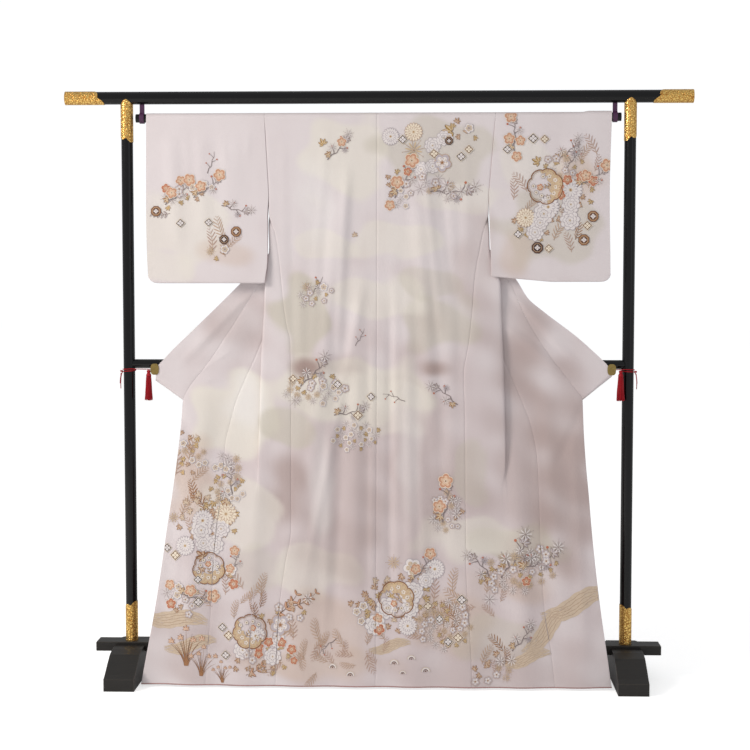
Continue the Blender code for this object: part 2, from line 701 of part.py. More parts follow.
def gold_fittings(parts):
    """Sheet-metal sleeves with scalloped edges: on the bar's ends and on both ends of the posts."""
    angle = np.linspace(0, 2 * math.pi, 24, endpoint=False)
    for side, word in ((LEFT, "left"), (RIGHT, "right")):
        inside, outside = BAR_RADIUS + GAP, BAR_RADIUS + GAP + GOLD_WALL
        tip = BAR_LENGTH / 2
        edge = tip - BAR_END_SHORT - scallop(angle, 0.0, BAR_END_LONG - BAR_END_SHORT)
        rings = [
            ring(outside, angle, edge),
            ring(outside, angle, tip),
            ring(0.0, angle, tip),
            ring(0.0, angle, tip - GOLD_WALL),
            ring(inside, angle, tip - GOLD_WALL),
            ring(inside, angle, edge),
        ]
        cup = ring_shape([np.stack([r[:, 2], r[:, 1], -r[:, 0]], -1) for r in rings], True)
        if side == LEFT:
            bmesh.ops.scale(cup, vec=(-1, 1, 1), verts=cup.verts[:])
            bmesh.ops.reverse_faces(cup, faces=cup.faces[:])
        shift(cup, z=BAR_HEIGHT)
        smooth_round(from_bmesh(f"gold_bar_end_{word}", cup, "gold", parts))

        inside, outside = POST_RADIUS + GAP, POST_RADIUS + GAP + GOLD_WALL
        inner_side = math.pi if side == RIGHT else 0.0
        low = POST_TOP_GOLD - scallop(angle, inner_side, SCALLOP_SLANT)
        top = ring_shape(
            [
                ring(outside, angle, low),
                ring(outside, angle, BAR_HEIGHT),
                ring(inside, angle, BAR_HEIGHT),
                ring(inside, angle, low),
            ],
            True,
        )
        shift(top, x=side * POST_OUT)
        piece = from_bmesh(f"gold_post_top_{word}", top, "gold", parts)
        cut(piece, bpy.data.objects[f"bar_room_{word}"])
        smooth_round(piece)

        high = POST_BOTTOM_GOLD + scallop(angle, inner_side, SCALLOP_SLANT)
        foot_ring = ring_shape(
            [
                ring(outside, angle, BEAM_TOP + GAP),
                ring(outside, angle, high),
                ring(inside, angle, high),
                ring(inside, angle, BEAM_TOP + GAP),
            ],
            True,
        )
        shift(foot_ring, x=side * POST_OUT)
        smooth_round(from_bmesh(f"gold_post_bottom_{word}", foot_ring, "gold", parts))


def prism(outline, width):
    """An outline in Y and Z, carried along X and centred."""
    shape = bmesh.new()
    face = shape.faces.new([shape.verts.new((-width / 2, y, z)) for y, z in outline])
    moved = bmesh.ops.extrude_face_region(shape, geom=[face])["geom"]
    verts = [item for item in moved if isinstance(item, bmesh.types.BMVert)]
    bmesh.ops.translate(shape, verts=verts, vec=(width, 0, 0))
    bmesh.ops.recalc_face_normals(shape, faces=shape.faces[:])
    return shape


def soften(piece, width, segments=1):
    bevel = piece.modifiers.new("edges", "BEVEL")
    bevel.width = width
    bevel.segments = segments
    bevel.limit_method = "ANGLE"


def base_frame(parts):
    """Two feet, front to back, and the low beam that lies in their notches."""
    half, flat, notch = FOOT_LENGTH / 2, FOOT_FLAT / 2, BEAM_DEPTH / 2 + GAP
    slope = [
        (flat + (half - flat) * t, FOOT_TOE + (FOOT_TOP - FOOT_TOE) * math.cos(t * math.pi / 2) ** 1.3)
        for t in (0.0, 0.3, 0.6, 0.85, 1.0)
    ]
    outline = [(half, 0.0)]
    outline += slope[::-1]
    outline += [(notch, FOOT_TOP), (notch, BEAM_BOTTOM - GAP)]
    outline += [(-y, z) for y, z in outline[::-1]]
    for side, word in ((LEFT, "left"), (RIGHT, "right")):
        shape = prism(outline, FOOT_WIDTH)
        shift(shape, x=side * POST_OUT)
        from_bmesh(f"foot_{word}", shape, "foot_black", parts)

    beam = bmesh.new()
    bmesh.ops.create_cube(beam, size=1.0)
    size = (BEAM_LENGTH, BEAM_DEPTH, BEAM_TOP - BEAM_BOTTOM)
    bmesh.ops.scale(beam, vec=size, verts=beam.verts[:])
    shift(beam, z=(BEAM_TOP + BEAM_BOTTOM) / 2)
    piece = from_bmesh("low_beam", beam, "foot_black", parts)
    soften(piece, 0.0015)


def hook(name, side, parts, cutters):
    """A strap hook: a flat stem under the top bar that closes round the hanging rod."""
    inside = ROD_RADIUS + GAP
    shape = cylinder(inside + HOOK_STRAP, HOOK_WIDTH, 24)
    shift(shape, x=side * HOOK_OUT, z=ROD_HEIGHT)
    piece = from_bmesh(name, shape, "hook", parts)

    low, high = ROD_HEIGHT + inside, BAR_HEIGHT - BAR_RADIUS - GAP
    stem = bmesh.new()
    bmesh.ops.create_cube(stem, size=1.0)
    bmesh.ops.scale(stem, vec=(HOOK_WIDTH, 2 * HOOK_STRAP, high - low), verts=stem.verts[:])
    shift(stem, x=side * HOOK_OUT, z=(low + high) / 2)
    cut(piece, from_bmesh(f"stem_{name}", stem, "hook", cutters), "UNION")

    hole = cylinder(inside, 2 * HOOK_WIDTH, 24)
    shift(hole, x=side * HOOK_OUT, z=ROD_HEIGHT)
    cut(piece, from_bmesh(f"rod_room_{name}", hole, "hook", cutters))
    smooth_round(piece)
    return piece


def clip(name, side, parts):
    """Two oval plates with the collar's point between them, joined at their outer end."""
    around = np.radians(np.arange(0, 360, 20))
    half_x, half_z = CLIP_WIDTH / 2, CLIP_TALL / 2
    oval = [
        (
            half_x * math.copysign(abs(math.cos(a)) ** 0.7, math.cos(a)),
            half_z * math.copysign(abs(math.sin(a)) ** 0.7, math.sin(a)),
        )
        for a in around
    ]
    thick = CLIP_SLOT + 2 * CLIP_PLATE
    shape = prism(oval, thick)
    for vertex in shape.verts:
        x, y, z = vertex.co
        vertex.co = (side * y, x, z)
    if side == RIGHT:
        bmesh.ops.reverse_faces(shape, faces=shape.faces[:])
    shift(shape, x=side * CLIP_OUT[side], y=CLIP_DEPTH, z=CLIP_HEIGHT[side])
    return from_bmesh(name, shape, "clip", parts)


def clip_slot(name, side, cutters):
    slot = bmesh.new()
    bmesh.ops.create_cube(slot, size=1.0)
    size = (CLIP_WIDTH, CLIP_SLOT, 2 * CLIP_TALL)
    bmesh.ops.scale(slot, vec=size, verts=slot.verts[:])
    shift(
        slot,
        x=side * (CLIP_OUT[side] - CLIP_BRIDGE),
        y=CLIP_DEPTH,
        z=CLIP_HEIGHT[side],
    )
    return from_bmesh(name, slot, "clip", cutters)


def tube(name, points, radius, collection):
    """A round cord through points, as a poly curve with filled ends."""
    curve = bpy.data.curves.new(name, "CURVE")
    curve.dimensions = "3D"
    curve.bevel_depth = radius
    curve.bevel_resolution = 2
    curve.use_fill_caps = True
    spline = curve.splines.new("POLY")
    spline.points.add(len(points) - 1)
    for target, p in zip(spline.points, points):
        target.co = (*p, 1.0)
    curve.materials.append(finish_of("red_cord"))
    piece = bpy.data.objects.new(name, curve)
    collection.objects.link(piece)
    return piece


def tie_lead(side):
    """Where the tie leaves the clip, where its straight start ends, and where it meets the post."""
    reach = POST_RADIUS + GAP + TIE_RADIUS
    meet = math.radians(TIE_MEETS)
    clip_end = np.array((CLIP_OUT[side] + CLIP_WIDTH / 2 + GAP, CLIP_DEPTH, CLIP_HEIGHT[side]))
    out_of_clip = clip_end + (TIE_STRAIGHT, 0, 0)
    first = (POST_OUT + reach * math.sin(meet), -reach * math.cos(meet), CLIP_HEIGHT[side])
    return clip_end, out_of_clip, np.array(first)


def tie(side, word, parts):
    """From the clip to the post, once round it and on to a knot, with one end hanging from the
    turn and one from the knot."""
    reach = POST_RADIUS + GAP + TIE_RADIUS
    start_z = CLIP_HEIGHT[side]
    turns = np.radians(np.arange(TIE_MEETS, 416, 18))
    drop = start_z - TIE_DROP * (turns - turns[0]) / (turns[-1] - turns[0])
    around = [
        (POST_OUT + reach * math.sin(a), -reach * math.cos(a), z) for a, z in zip(turns, drop)
    ]
    clip_end, out_of_clip, first = tie_lead(side)
    lead = [clip_end] + [out_of_clip + (first - out_of_clip) * t for t in (0, 0.35, 0.7)]
    last = np.array(around[-1])
    away = np.array((0.0035, 0.0030, -0.0018))
    sag = [(1, 0.0), (2, -0.0035), (2.6, -0.0110), (2.9, -0.0210), (3.0, -0.0330), (2.9, -0.0450)]
    end = [tuple(last + away * k + (0, 0, extra)) for k, extra in sag]
    path = [(side * x, y, z) for x, y, z in lead + around + end]
    tube(f"tie_{word}", path, TIE_RADIUS, parts)

    clear = KNOT_RADIUS + TIE_RADIUS + GAP
    aim = last + KNOT_AIM
    spots = np.array(around + end)
    between = (spots[:-1, None] * np.linspace(1, 0, 9)[:, None]) + (
        spots[1:, None] * np.linspace(0, 1, 9)[:, None]
    )
    between = between.reshape(-1, 3)
    nearest = between[np.argmin(np.linalg.norm(between - aim, axis=1))]
    middle = nearest + (aim - nearest) / np.linalg.norm(aim - nearest) * clear
    bead = bmesh.new()
    bmesh.ops.create_uvsphere(bead, u_segments=12, v_segments=8, radius=KNOT_RADIUS)
    shift(bead, x=side * middle[0], y=middle[1], z=middle[2])
    smooth_round(from_bmesh(f"tie_knot_{word}", bead, "red_cord", parts))

    top = middle + np.array((0.0012, -0.0008, -KNOT_RADIUS - GAP))
    hang = [(0, 0), (0.0008, -0.008), (0.0022, -0.018), (0.0030, -0.030)]
    path = [(side * (top[0] + dx), top[1], top[2] + dz) for dx, dz in hang]
    tube(f"tie_end_{word}", path, TIE_RADIUS, parts)


def tassel(name, side, parts):
    """A bound head with strands drawn down out of its flat underside, a little uneven."""
    chance = np.random.default_rng(7 if side == LEFT else 8)
    angle = np.linspace(0, 2 * math.pi, TASSEL_SECTORS, endpoint=False)
    profile = (
        (0.0, 0.0),
        (0.0026, -0.0008),
        (0.0042, -0.0040),
        (0.0030, -0.0085),
        (0.0048, -0.0110),
        (0.0060, -0.0160),
        (0.0060, -0.0200),
    )
    rings = [ring(r, angle, h) for r, h in profile]
    rings += [ring(r, angle, profile[-1][1]) for r in TASSEL_RINGS[::-1]]
    rings.append(ring(0.0, angle, profile[-1][1]))
    shape = ring_shape(rings, False)
    under = profile[-1][1] + 0.0001
    inner, outer = TASSEL_RINGS[0], TASSEL_RINGS[-1]
    roots = []
    for face in shape.faces:
        middle = face.calc_center_median()
        if face.normal.z < -0.9 and middle.z < under and inner < middle.xy.length < outer:
            roots.append(face)
    bmesh.ops.inset_individual(shape, faces=roots, thickness=0.00012, use_even_offset=True)
    stages = ((0.40, 1.45, 1.15), (1.0, 1.55, 1.20))
    length = TASSEL_LENGTH + profile[-1][1]
    for face in roots:
        middle = face.calc_center_median().copy()
        ragged = 1 - 0.06 * chance.random()
        level = middle.z
        for share, wide, deep in stages:
            grown = bmesh.ops.extrude_discrete_faces(shape, faces=[face])["faces"]
            face = grown[0]
            for vertex in face.verts:
                own = vertex.co - middle
                middle_x, middle_y = middle.x * wide, middle.y * deep
                vertex.co.x = middle_x + own.x
                vertex.co.y = middle_y + own.y
                vertex.co.z = level - length * share * ragged
            middle.x, middle.y = middle.x * wide, middle.y * deep
    _, out_of_clip, first = tie_lead(side)
    along = (TASSEL_OUT[side] - out_of_clip[0]) / (first - out_of_clip)[0]
    hung = out_of_clip + (first - out_of_clip) * along
    shift(shape, x=side * hung[0], y=hung[1], z=hung[2] - TIE_RADIUS - GAP)
    return from_bmesh(name, shape, "red_cord", parts)


def main():
    clear_scene()
    parts, cutters = new_collection("kimono_on_rack"), new_collection("cutters")
    round_bars(parts, cutters)
    base_frame(parts)
    for side, word in ((LEFT, "left"), (RIGHT, "right")):
        post(word, side, parts, cutters)
        hook(f"hook_{word}", side, parts, cutters)
        back_panel(f"back_{word}", side, parts)
        front_panel(f"front_{word}", side, parts)
        overlap_panel(f"okumi_{word}", side, parts)
        collar_band(f"collar_{word}", side, parts)
        sleeve(f"sleeve_{word}", side, parts)
        plates = clip(f"clip_{word}", side, parts)
        cut(plates, clip_slot(f"slot_{word}", side, cutters))
        tie(side, word, parts)
        tassel(f"tassel_{word}", side, parts)
    gold_fittings(parts)


main()
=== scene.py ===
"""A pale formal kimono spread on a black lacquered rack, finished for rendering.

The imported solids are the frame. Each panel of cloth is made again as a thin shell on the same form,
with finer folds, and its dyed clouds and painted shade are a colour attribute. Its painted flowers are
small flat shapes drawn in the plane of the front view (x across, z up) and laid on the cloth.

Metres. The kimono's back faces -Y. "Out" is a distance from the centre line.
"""

import json
import math

import bmesh
import bpy
import numpy as np
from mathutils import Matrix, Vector

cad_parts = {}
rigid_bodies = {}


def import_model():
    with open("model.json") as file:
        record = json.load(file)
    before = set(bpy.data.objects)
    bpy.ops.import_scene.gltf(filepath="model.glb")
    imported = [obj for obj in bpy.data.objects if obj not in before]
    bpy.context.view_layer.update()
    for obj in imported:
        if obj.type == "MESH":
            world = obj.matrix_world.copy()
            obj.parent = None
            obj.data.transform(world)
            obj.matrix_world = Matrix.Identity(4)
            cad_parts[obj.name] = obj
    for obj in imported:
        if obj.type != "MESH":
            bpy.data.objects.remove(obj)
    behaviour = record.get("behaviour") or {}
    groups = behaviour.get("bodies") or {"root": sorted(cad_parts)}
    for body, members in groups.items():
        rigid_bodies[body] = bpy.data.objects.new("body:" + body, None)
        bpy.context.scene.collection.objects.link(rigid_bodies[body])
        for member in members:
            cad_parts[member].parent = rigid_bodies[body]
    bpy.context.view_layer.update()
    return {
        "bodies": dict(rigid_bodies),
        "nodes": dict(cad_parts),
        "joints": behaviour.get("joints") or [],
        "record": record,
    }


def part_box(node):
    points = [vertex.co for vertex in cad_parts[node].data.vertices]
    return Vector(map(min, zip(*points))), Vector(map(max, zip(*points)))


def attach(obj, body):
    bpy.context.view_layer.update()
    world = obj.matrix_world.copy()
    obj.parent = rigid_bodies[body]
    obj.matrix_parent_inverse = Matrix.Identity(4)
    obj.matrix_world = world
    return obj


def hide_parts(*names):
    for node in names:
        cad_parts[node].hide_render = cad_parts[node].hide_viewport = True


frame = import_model()

bl_info = {
    "name": "Kimono on a lacquered rack",
    "version": (1, 0, 0),
    "blender": (4, 5, 0),
    "location": "3D View > Sidebar > Kimono",
    "description": "Builds the cloth, the painted flowers and the fittings of a kimono on its rack",
    "category": "Object",
}

LEFT, RIGHT = -1, 1
SIDES = ((LEFT, "left"), (RIGHT, "right"))

# Rack, from the frame
ROD_LOW, ROD_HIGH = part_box("hanging_rod")
ROD_HEIGHT = (ROD_HIGH[2] + ROD_LOW[2]) / 2
POST_LOW, POST_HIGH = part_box("post_right")
POST_RADIUS = (POST_HIGH[0] - POST_LOW[0]) / 2
POST_OUT = (POST_HIGH[0] + POST_LOW[0]) / 2

# Ties and tassels. GAP keeps pieces that meet just apart
GAP = 0.0003
TIE_HEIGHT = {LEFT: 0.8860, RIGHT: 0.8870}
TIE_DEPTH = -0.0286
TIE_STRAIGHT = 0.004
TIE_MEETS = -20
TIE_DROP = 0.007
TIE_SAG = ((1, 0.0), (2, -0.0035), (2.6, -0.0110), (2.9, -0.0210), (3.0, -0.0330), (2.9, -0.0450))
TIE_AWAY = np.array((0.0035, 0.0030, -0.0018))
TIE_END = ((0, 0), (0.0008, -0.008), (0.0022, -0.018), (0.0030, -0.030))
THREADS_DROP = 0.017
THREAD_RADIUS = 0.00075
BINDING_RADIUS = 0.0045
TASSEL_HEAD = (  # radius, drop
    (0.0004, 0.0000),
    (0.0020, -0.0002),
    (0.0036, -0.0008),
    (0.0050, -0.0022),
    (0.0056, -0.0040),
    (0.0052, -0.0056),
    (0.0043, -0.0072),
    (0.0042, -0.0092),
    (0.0052, -0.0104),
    (0.0062, -0.0120),
    (0.0070, -0.0150),
    (0.0072, -0.0180),
)
CAMERA_PLACE = (0.1505, -4.5, 1.160)
CAMERA_AIM = (-0.0066, 0, 0.869)
FLOOR_HALF = 30
FILL_SHARE = 0.06

# The cloth's form, the same numbers as in the solids
OVER_ROD = 0.0135
BEHIND_ROD = 0.004
HEM_HEIGHT = 0.008
HEM_ROLL = 0.0034
ARMHOLE_LOW = 1.380
LEAN = 0.150
LEAN_POWER = 1.6
LAYER = 0.008
SHORT_LEG = 0.010
OVERLAP_CLEAR = 0.0042
COLLAR_WIDTH = 0.044
COLLAR_DROP = 0.009
COLLAR_INSET = 0.0035
COLLAR_LIFT = 0.003
SEAM_GAP = 0.0001
CENTRE_GAP = 0.00003

# How far out each line of the body lies at each height
BODY_COLUMNS = ("height", "side", "fold", "inner", "overlap", "edge")
BODY = {
    LEFT: (
        (1.597, 0.3185, 0.3145, 0.0865, 0.0825, 0.0845),
        (1.380, 0.3065, 0.3030, 0.0890, 0.0850, 0.0900),
        (1.330, 0.3063, 0.3050, 0.0980, 0.0970, 0.1370),
        (1.295, 0.2975, 0.3068, 0.1110, 0.1125, 0.1700),
        (1.270, 0.2880, 0.3060, 0.1240, 0.1270, 0.1940),
        (1.235, 0.2820, 0.3050, 0.1430, 0.1490, 0.2290),
        (1.185, 0.2755, 0.3100, 0.1730, 0.1940, 0.2790),
        (1.130, 0.2700, 0.3165, 0.2040, 0.2430, 0.3320),
        (1.057, 0.2625, 0.3191, 0.2420, 0.2920, 0.3810),
        (1.006, 0.2540, 0.3220, 0.2570, 0.3100, 0.4132),
        (0.967, 0.2450, 0.3244, 0.2680, 0.3270, 0.4390),
        (0.918, 0.2435, 0.3270, 0.2800, 0.3470, 0.4712),
        (0.880, 0.2430, 0.3280, 0.2896, 0.3648, 0.5000),
        (0.836, 0.2422, 0.3290, 0.3020, 0.3840, 0.5345),
        (0.799, 0.2417, 0.3300, 0.3107, 0.3990, 0.5513),
        (0.728, 0.2412, 0.3310, 0.3203, 0.4181, 0.5560),
        (0.680, 0.2408, 0.3320, 0.3265, 0.4290, 0.5604),
        (0.534, 0.2400, 0.3300, 0.3420, 0.4383, 0.5780),
        (0.442, 0.2394, 0.3290, 0.3560, 0.4500, 0.5915),
        (0.337, 0.2564, 0.3370, 0.3780, 0.4587, 0.6050),
        (0.205, 0.2721, 0.3480, 0.3870, 0.4640, 0.6240),
        (0.100, 0.2770, 0.3540, 0.3930, 0.4710, 0.6420),
        (HEM_HEIGHT, 0.2800, 0.3580, 0.3970, 0.4765, 0.6580),
    ),
    RIGHT: (
        (1.597, 0.3320, 0.3280, 0.0865, 0.0825, 0.0845),
        (1.380, 0.3145, 0.3110, 0.0890, 0.0850, 0.0900),
        (1.330, 0.3140, 0.3125, 0.0990, 0.0980, 0.1450),
        (1.295, 0.3050, 0.3140, 0.1130, 0.1145, 0.1850),
        (1.270, 0.2975, 0.3155, 0.1270, 0.1300, 0.2160),
        (1.235, 0.2911, 0.3165, 0.1480, 0.1540, 0.2620),
        (1.185, 0.2810, 0.3260, 0.1820, 0.1960, 0.3180),
        (1.130, 0.2740, 0.3470, 0.2200, 0.2310, 0.3754),
        (1.057, 0.2690, 0.3500, 0.2550, 0.2830, 0.4090),
        (1.007, 0.2640, 0.3522, 0.2740, 0.3110, 0.4349),
        (0.967, 0.2598, 0.3540, 0.2900, 0.3340, 0.4600),
        (0.918, 0.2510, 0.3564, 0.3068, 0.3569, 0.4930),
        (0.880, 0.2448, 0.3574, 0.3170, 0.3735, 0.5235),
        (0.841, 0.2452, 0.3584, 0.3290, 0.3910, 0.5530),
        (0.802, 0.2470, 0.3596, 0.3385, 0.4080, 0.5800),
        (0.722, 0.2488, 0.3610, 0.3524, 0.4368, 0.5823),
        (0.638, 0.2495, 0.3615, 0.3600, 0.4512, 0.5871),
        (0.534, 0.2500, 0.3500, 0.3680, 0.4560, 0.5960),
        (0.447, 0.2510, 0.3400, 0.3740, 0.4580, 0.6029),
        (0.342, 0.2519, 0.3400, 0.3800, 0.4625, 0.6130),
        (0.205, 0.2590, 0.3480, 0.3870, 0.4720, 0.6290),
        (0.100, 0.2660, 0.3580, 0.3980, 0.4895, 0.6440),
        (HEM_HEIGHT, 0.2690, 0.3630, 0.4030, 0.4990, 0.6570),
    ),
}
EDGE_DEPTH = (  # height, how far back the overlap's edge hangs
    (1.370, 0.0050),
    (1.330, 0.0045),
    (1.300, 0.0020),
    (1.200, -0.0080),
    (1.130, -0.0140),
    (1.057, -0.0185),
    (0.967, -0.0250),
    (0.920, -0.0282),
    (0.850, -0.0290),
    (0.806, -0.0370),
    (0.680, -0.0580),
    (0.535, -0.0780),
    (0.337, -0.1060),
    (0.205, -0.1270),
    (HEM_HEIGHT, -0.1510),
)
NECK = (  # seam_out, seam_height, turn in degrees
    (0.0001, 1.5914, 0),
    (0.0400, 1.5914, 0),
    (0.0620, 1.5890, 0),
    (0.0755, 1.5790, 2),
    (0.0803, 1.5620, 5),
    (0.0808, 1.5300, 15),
    (0.0808, 1.4900, 35),
    (0.0810, 1.4500, 60),
    (0.0825, 1.4130, 82),
)
LAPEL = {  # seam_height, edge_out, edge_height
    LEFT: (
        (1.380, 0.1500, 1.3850),
        (1.330, 0.1800, 1.3520),
        (1.270, 0.2250, 1.2980),
        (1.185, 0.3080, 1.2150),
        (1.130, 0.3620, 1.1570),
        (1.006, 0.4636, 1.0554),
        (0.918, 0.5351, 0.9864),
        (0.880, 0.5750, 0.9480),
        (0.836, 0.6080, 0.9130),
        (0.818, 0.6270, 0.8900),
        (0.799, 0.6310, 0.8540),
    ),
    RIGHT: (
        (1.380, 0.1500, 1.3850),
        (1.330, 0.1850, 1.3520),
        (1.270, 0.2460, 1.2980),
        (1.185, 0.3400, 1.2020),
        (1.130, 0.3940, 1.1390),
        (1.057, 0.4270, 1.0870),
        (1.007, 0.4720, 1.0490),
        (0.918, 0.5630, 0.9800),
        (0.880, 0.6050, 0.9430),
        (0.841, 0.6350, 0.9150),
        (0.820, 0.6520, 0.8970),
        (0.802, 0.6630, 0.8680),
    ),
}
SLEEVE_COLUMNS = ("height", "inner", "outer", "swing", "depth")
SLEEVE = {
    LEFT: (
        (1.612, 0.3194, 0.6540, 0.0000, 0.0270),
        (1.380, 0.3065, 0.6550, 0.0000, 0.0181),
        (1.320, 0.3092, 0.6545, 0.0022, 0.0150),
        (1.270, 0.3085, 0.6530, 0.0055, 0.0120),
        (1.200, 0.3085, 0.6500, 0.0100, 0.0070),
        (1.131, 0.3160, 0.6450, 0.0150, 0.0070),
    ),
    RIGHT: (
        (1.612, 0.3334, 0.6580, 0.0000, 0.0270),
        (1.380, 0.3145, 0.6530, 0.0000, 0.0181),
        (1.320, 0.3165, 0.6530, 0.0022, 0.0150),
        (1.270, 0.3180, 0.6535, 0.0055, 0.0120),
        (1.200, 0.3200, 0.6540, 0.0110, 0.0070),
        (1.131, 0.3220, 0.6540, 0.0160, 0.0070),
    ),
}
SLEEVE_BOTTOM = {LEFT: (1.131, 1.131), RIGHT: (1.150, 1.135)}
SLEEVE_CORNER = 0.020
RIGHT_SHOULDER_LIFT = 0.003
RIGHT_SHOULDER_OUT = 0.575

# Ridges in the cloth: top_x, top_z, low_x, low_z, rise, half_width. The first of each set are the
# solids' own, and the narrow ones after them are only here.
BACK_RIDGES = (
    (-0.090, 1.50, -0.200, 0.42, 0.0070, 0.026),
    (-0.050, 1.28, -0.062, 0.20, 0.0035, 0.020),
    (-0.215, 1.22, -0.225, 0.30, 0.0045, 0.022),
    (0.107, 1.50, 0.168, 0.60, 0.0070, 0.026),
    (0.048, 1.30, 0.060, 0.20, 0.0040, 0.020),
    (0.205, 1.20, 0.222, 0.25, 0.0045, 0.024),
    (-0.140, 1.59, -0.170, 1.20, 0.0012, 0.012),
    (0.035, 1.59, 0.020, 1.30, 0.0010, 0.010),
    (0.250, 1.58, 0.262, 1.10, 0.0014, 0.014),
    (-0.268, 1.58, -0.262, 1.15, 0.0012, 0.012),
    (-0.130, 0.90, -0.145, 0.05, 0.0024, 0.014),
    (0.125, 0.85, 0.140, 0.05, 0.0024, 0.014),
    (-0.165, 1.35, -0.195, 0.55, 0.0026, 0.016),
    (-0.118, 1.20, -0.110, 0.25, -0.0026, 0.020),
    (0.150, 1.30, 0.200, 0.35, -0.0026, 0.020),
    (0.080, 1.10, 0.100, 0.15, 0.0022, 0.015),
    (-0.020, 1.00, -0.026, 0.10, -0.0018, 0.016),
    (0.226, 1.45, 0.236, 0.70, -0.0022, 0.014),
    (-0.245, 1.40, -0.236, 0.60, -0.0022, 0.014),
    (-0.020, 1.22, -0.215, 0.22, 0.0048, 0.015),
    (-0.080, 1.50, -0.114, 0.88, 0.0046, 0.013),
    (-0.078, 1.10, -0.120, 0.10, -0.0036, 0.016),
    (0.038, 1.20, 0.040, 0.12, -0.0052, 0.013),
    (-0.012, 1.10, -0.012, 0.16, 0.0022, 0.009),
    (0.086, 1.30, 0.100, 0.14, 0.0036, 0.020),
    (0.122, 1.58, 0.190, 0.92, 0.0044, 0.014),
    (0.168, 1.50, 0.226, 1.00, -0.0030, 0.014),
)
SLEEVE_RIDGES = (
    (0.585, 1.62, 0.500, 1.32, 0.0050, 0.020),
    (0.420, 1.60, 0.400, 1.20, 0.0020, 0.030),
    (-0.590, 1.60, -0.560, 1.20, 0.0025, 0.022),
    (-0.500, 1.60, -0.490, 1.25, 0.0025, 0.022),
    (-0.400, 1.62, -0.420, 1.30, 0.0020, 0.030),
    (-0.448, 1.64, -0.425, 1.42, 0.0013, 0.009),
    (-0.350, 1.64, -0.372, 1.46, 0.0013, 0.009),
    (-0.545, 1.63, -0.532, 1.40, 0.0010, 0.010),
    (0.470, 1.63, 0.452, 1.42, 0.0010, 0.010),
    (0.545, 1.63, 0.520, 1.44, 0.0012, 0.009),
)
WING_RIDGES = (
    (0.370, 1.12, 0.560, 0.93, 0.0030, 0.022),
    (0.350, 1.02, 0.520, 0.88, 0.0030, 0.022),
    (0.470, 0.90, 0.520, 0.10, 0.0050, 0.030),
    (0.390, 0.80, 0.420, 0.05, 0.0050, 0.028),
    (-0.370, 1.10, -0.540, 0.93, 0.0020, 0.022),
    (-0.480, 0.88, -0.540, 0.08, 0.0050, 0.030),
    (-0.330, 0.80, -0.350, 0.10, 0.0040, 0.026),
    (0.420, 1.00, 0.600, 0.86, 0.0012, 0.010),
    (-0.430, 1.02, -0.590, 0.87, 0.0012, 0.010),
    (-0.400, 0.95, -0.560, 0.84, 0.0012, 0.010),
    (0.550, 0.78, 0.585, 0.05, 0.0018, 0.014),
    (-0.520, 0.76, -0.590, 0.05, 0.0018, 0.014),
    (0.330, 1.16, 0.560, 0.90, 0.0020, 0.012),
    (0.480, 0.98, 0.600, 0.88, 0.0018, 0.009),
    (0.400, 0.90, 0.590, 0.85, 0.0022, 0.013),
    (0.500, 0.60, 0.600, 0.83, -0.0022, 0.014),
    (-0.330, 1.13, -0.570, 0.89, 0.0020, 0.012),
    (-0.380, 0.86, -0.570, 0.85, 0.0020, 0.013),
    (-0.500, 0.62, -0.580, 0.82, -0.0020, 0.014),
)
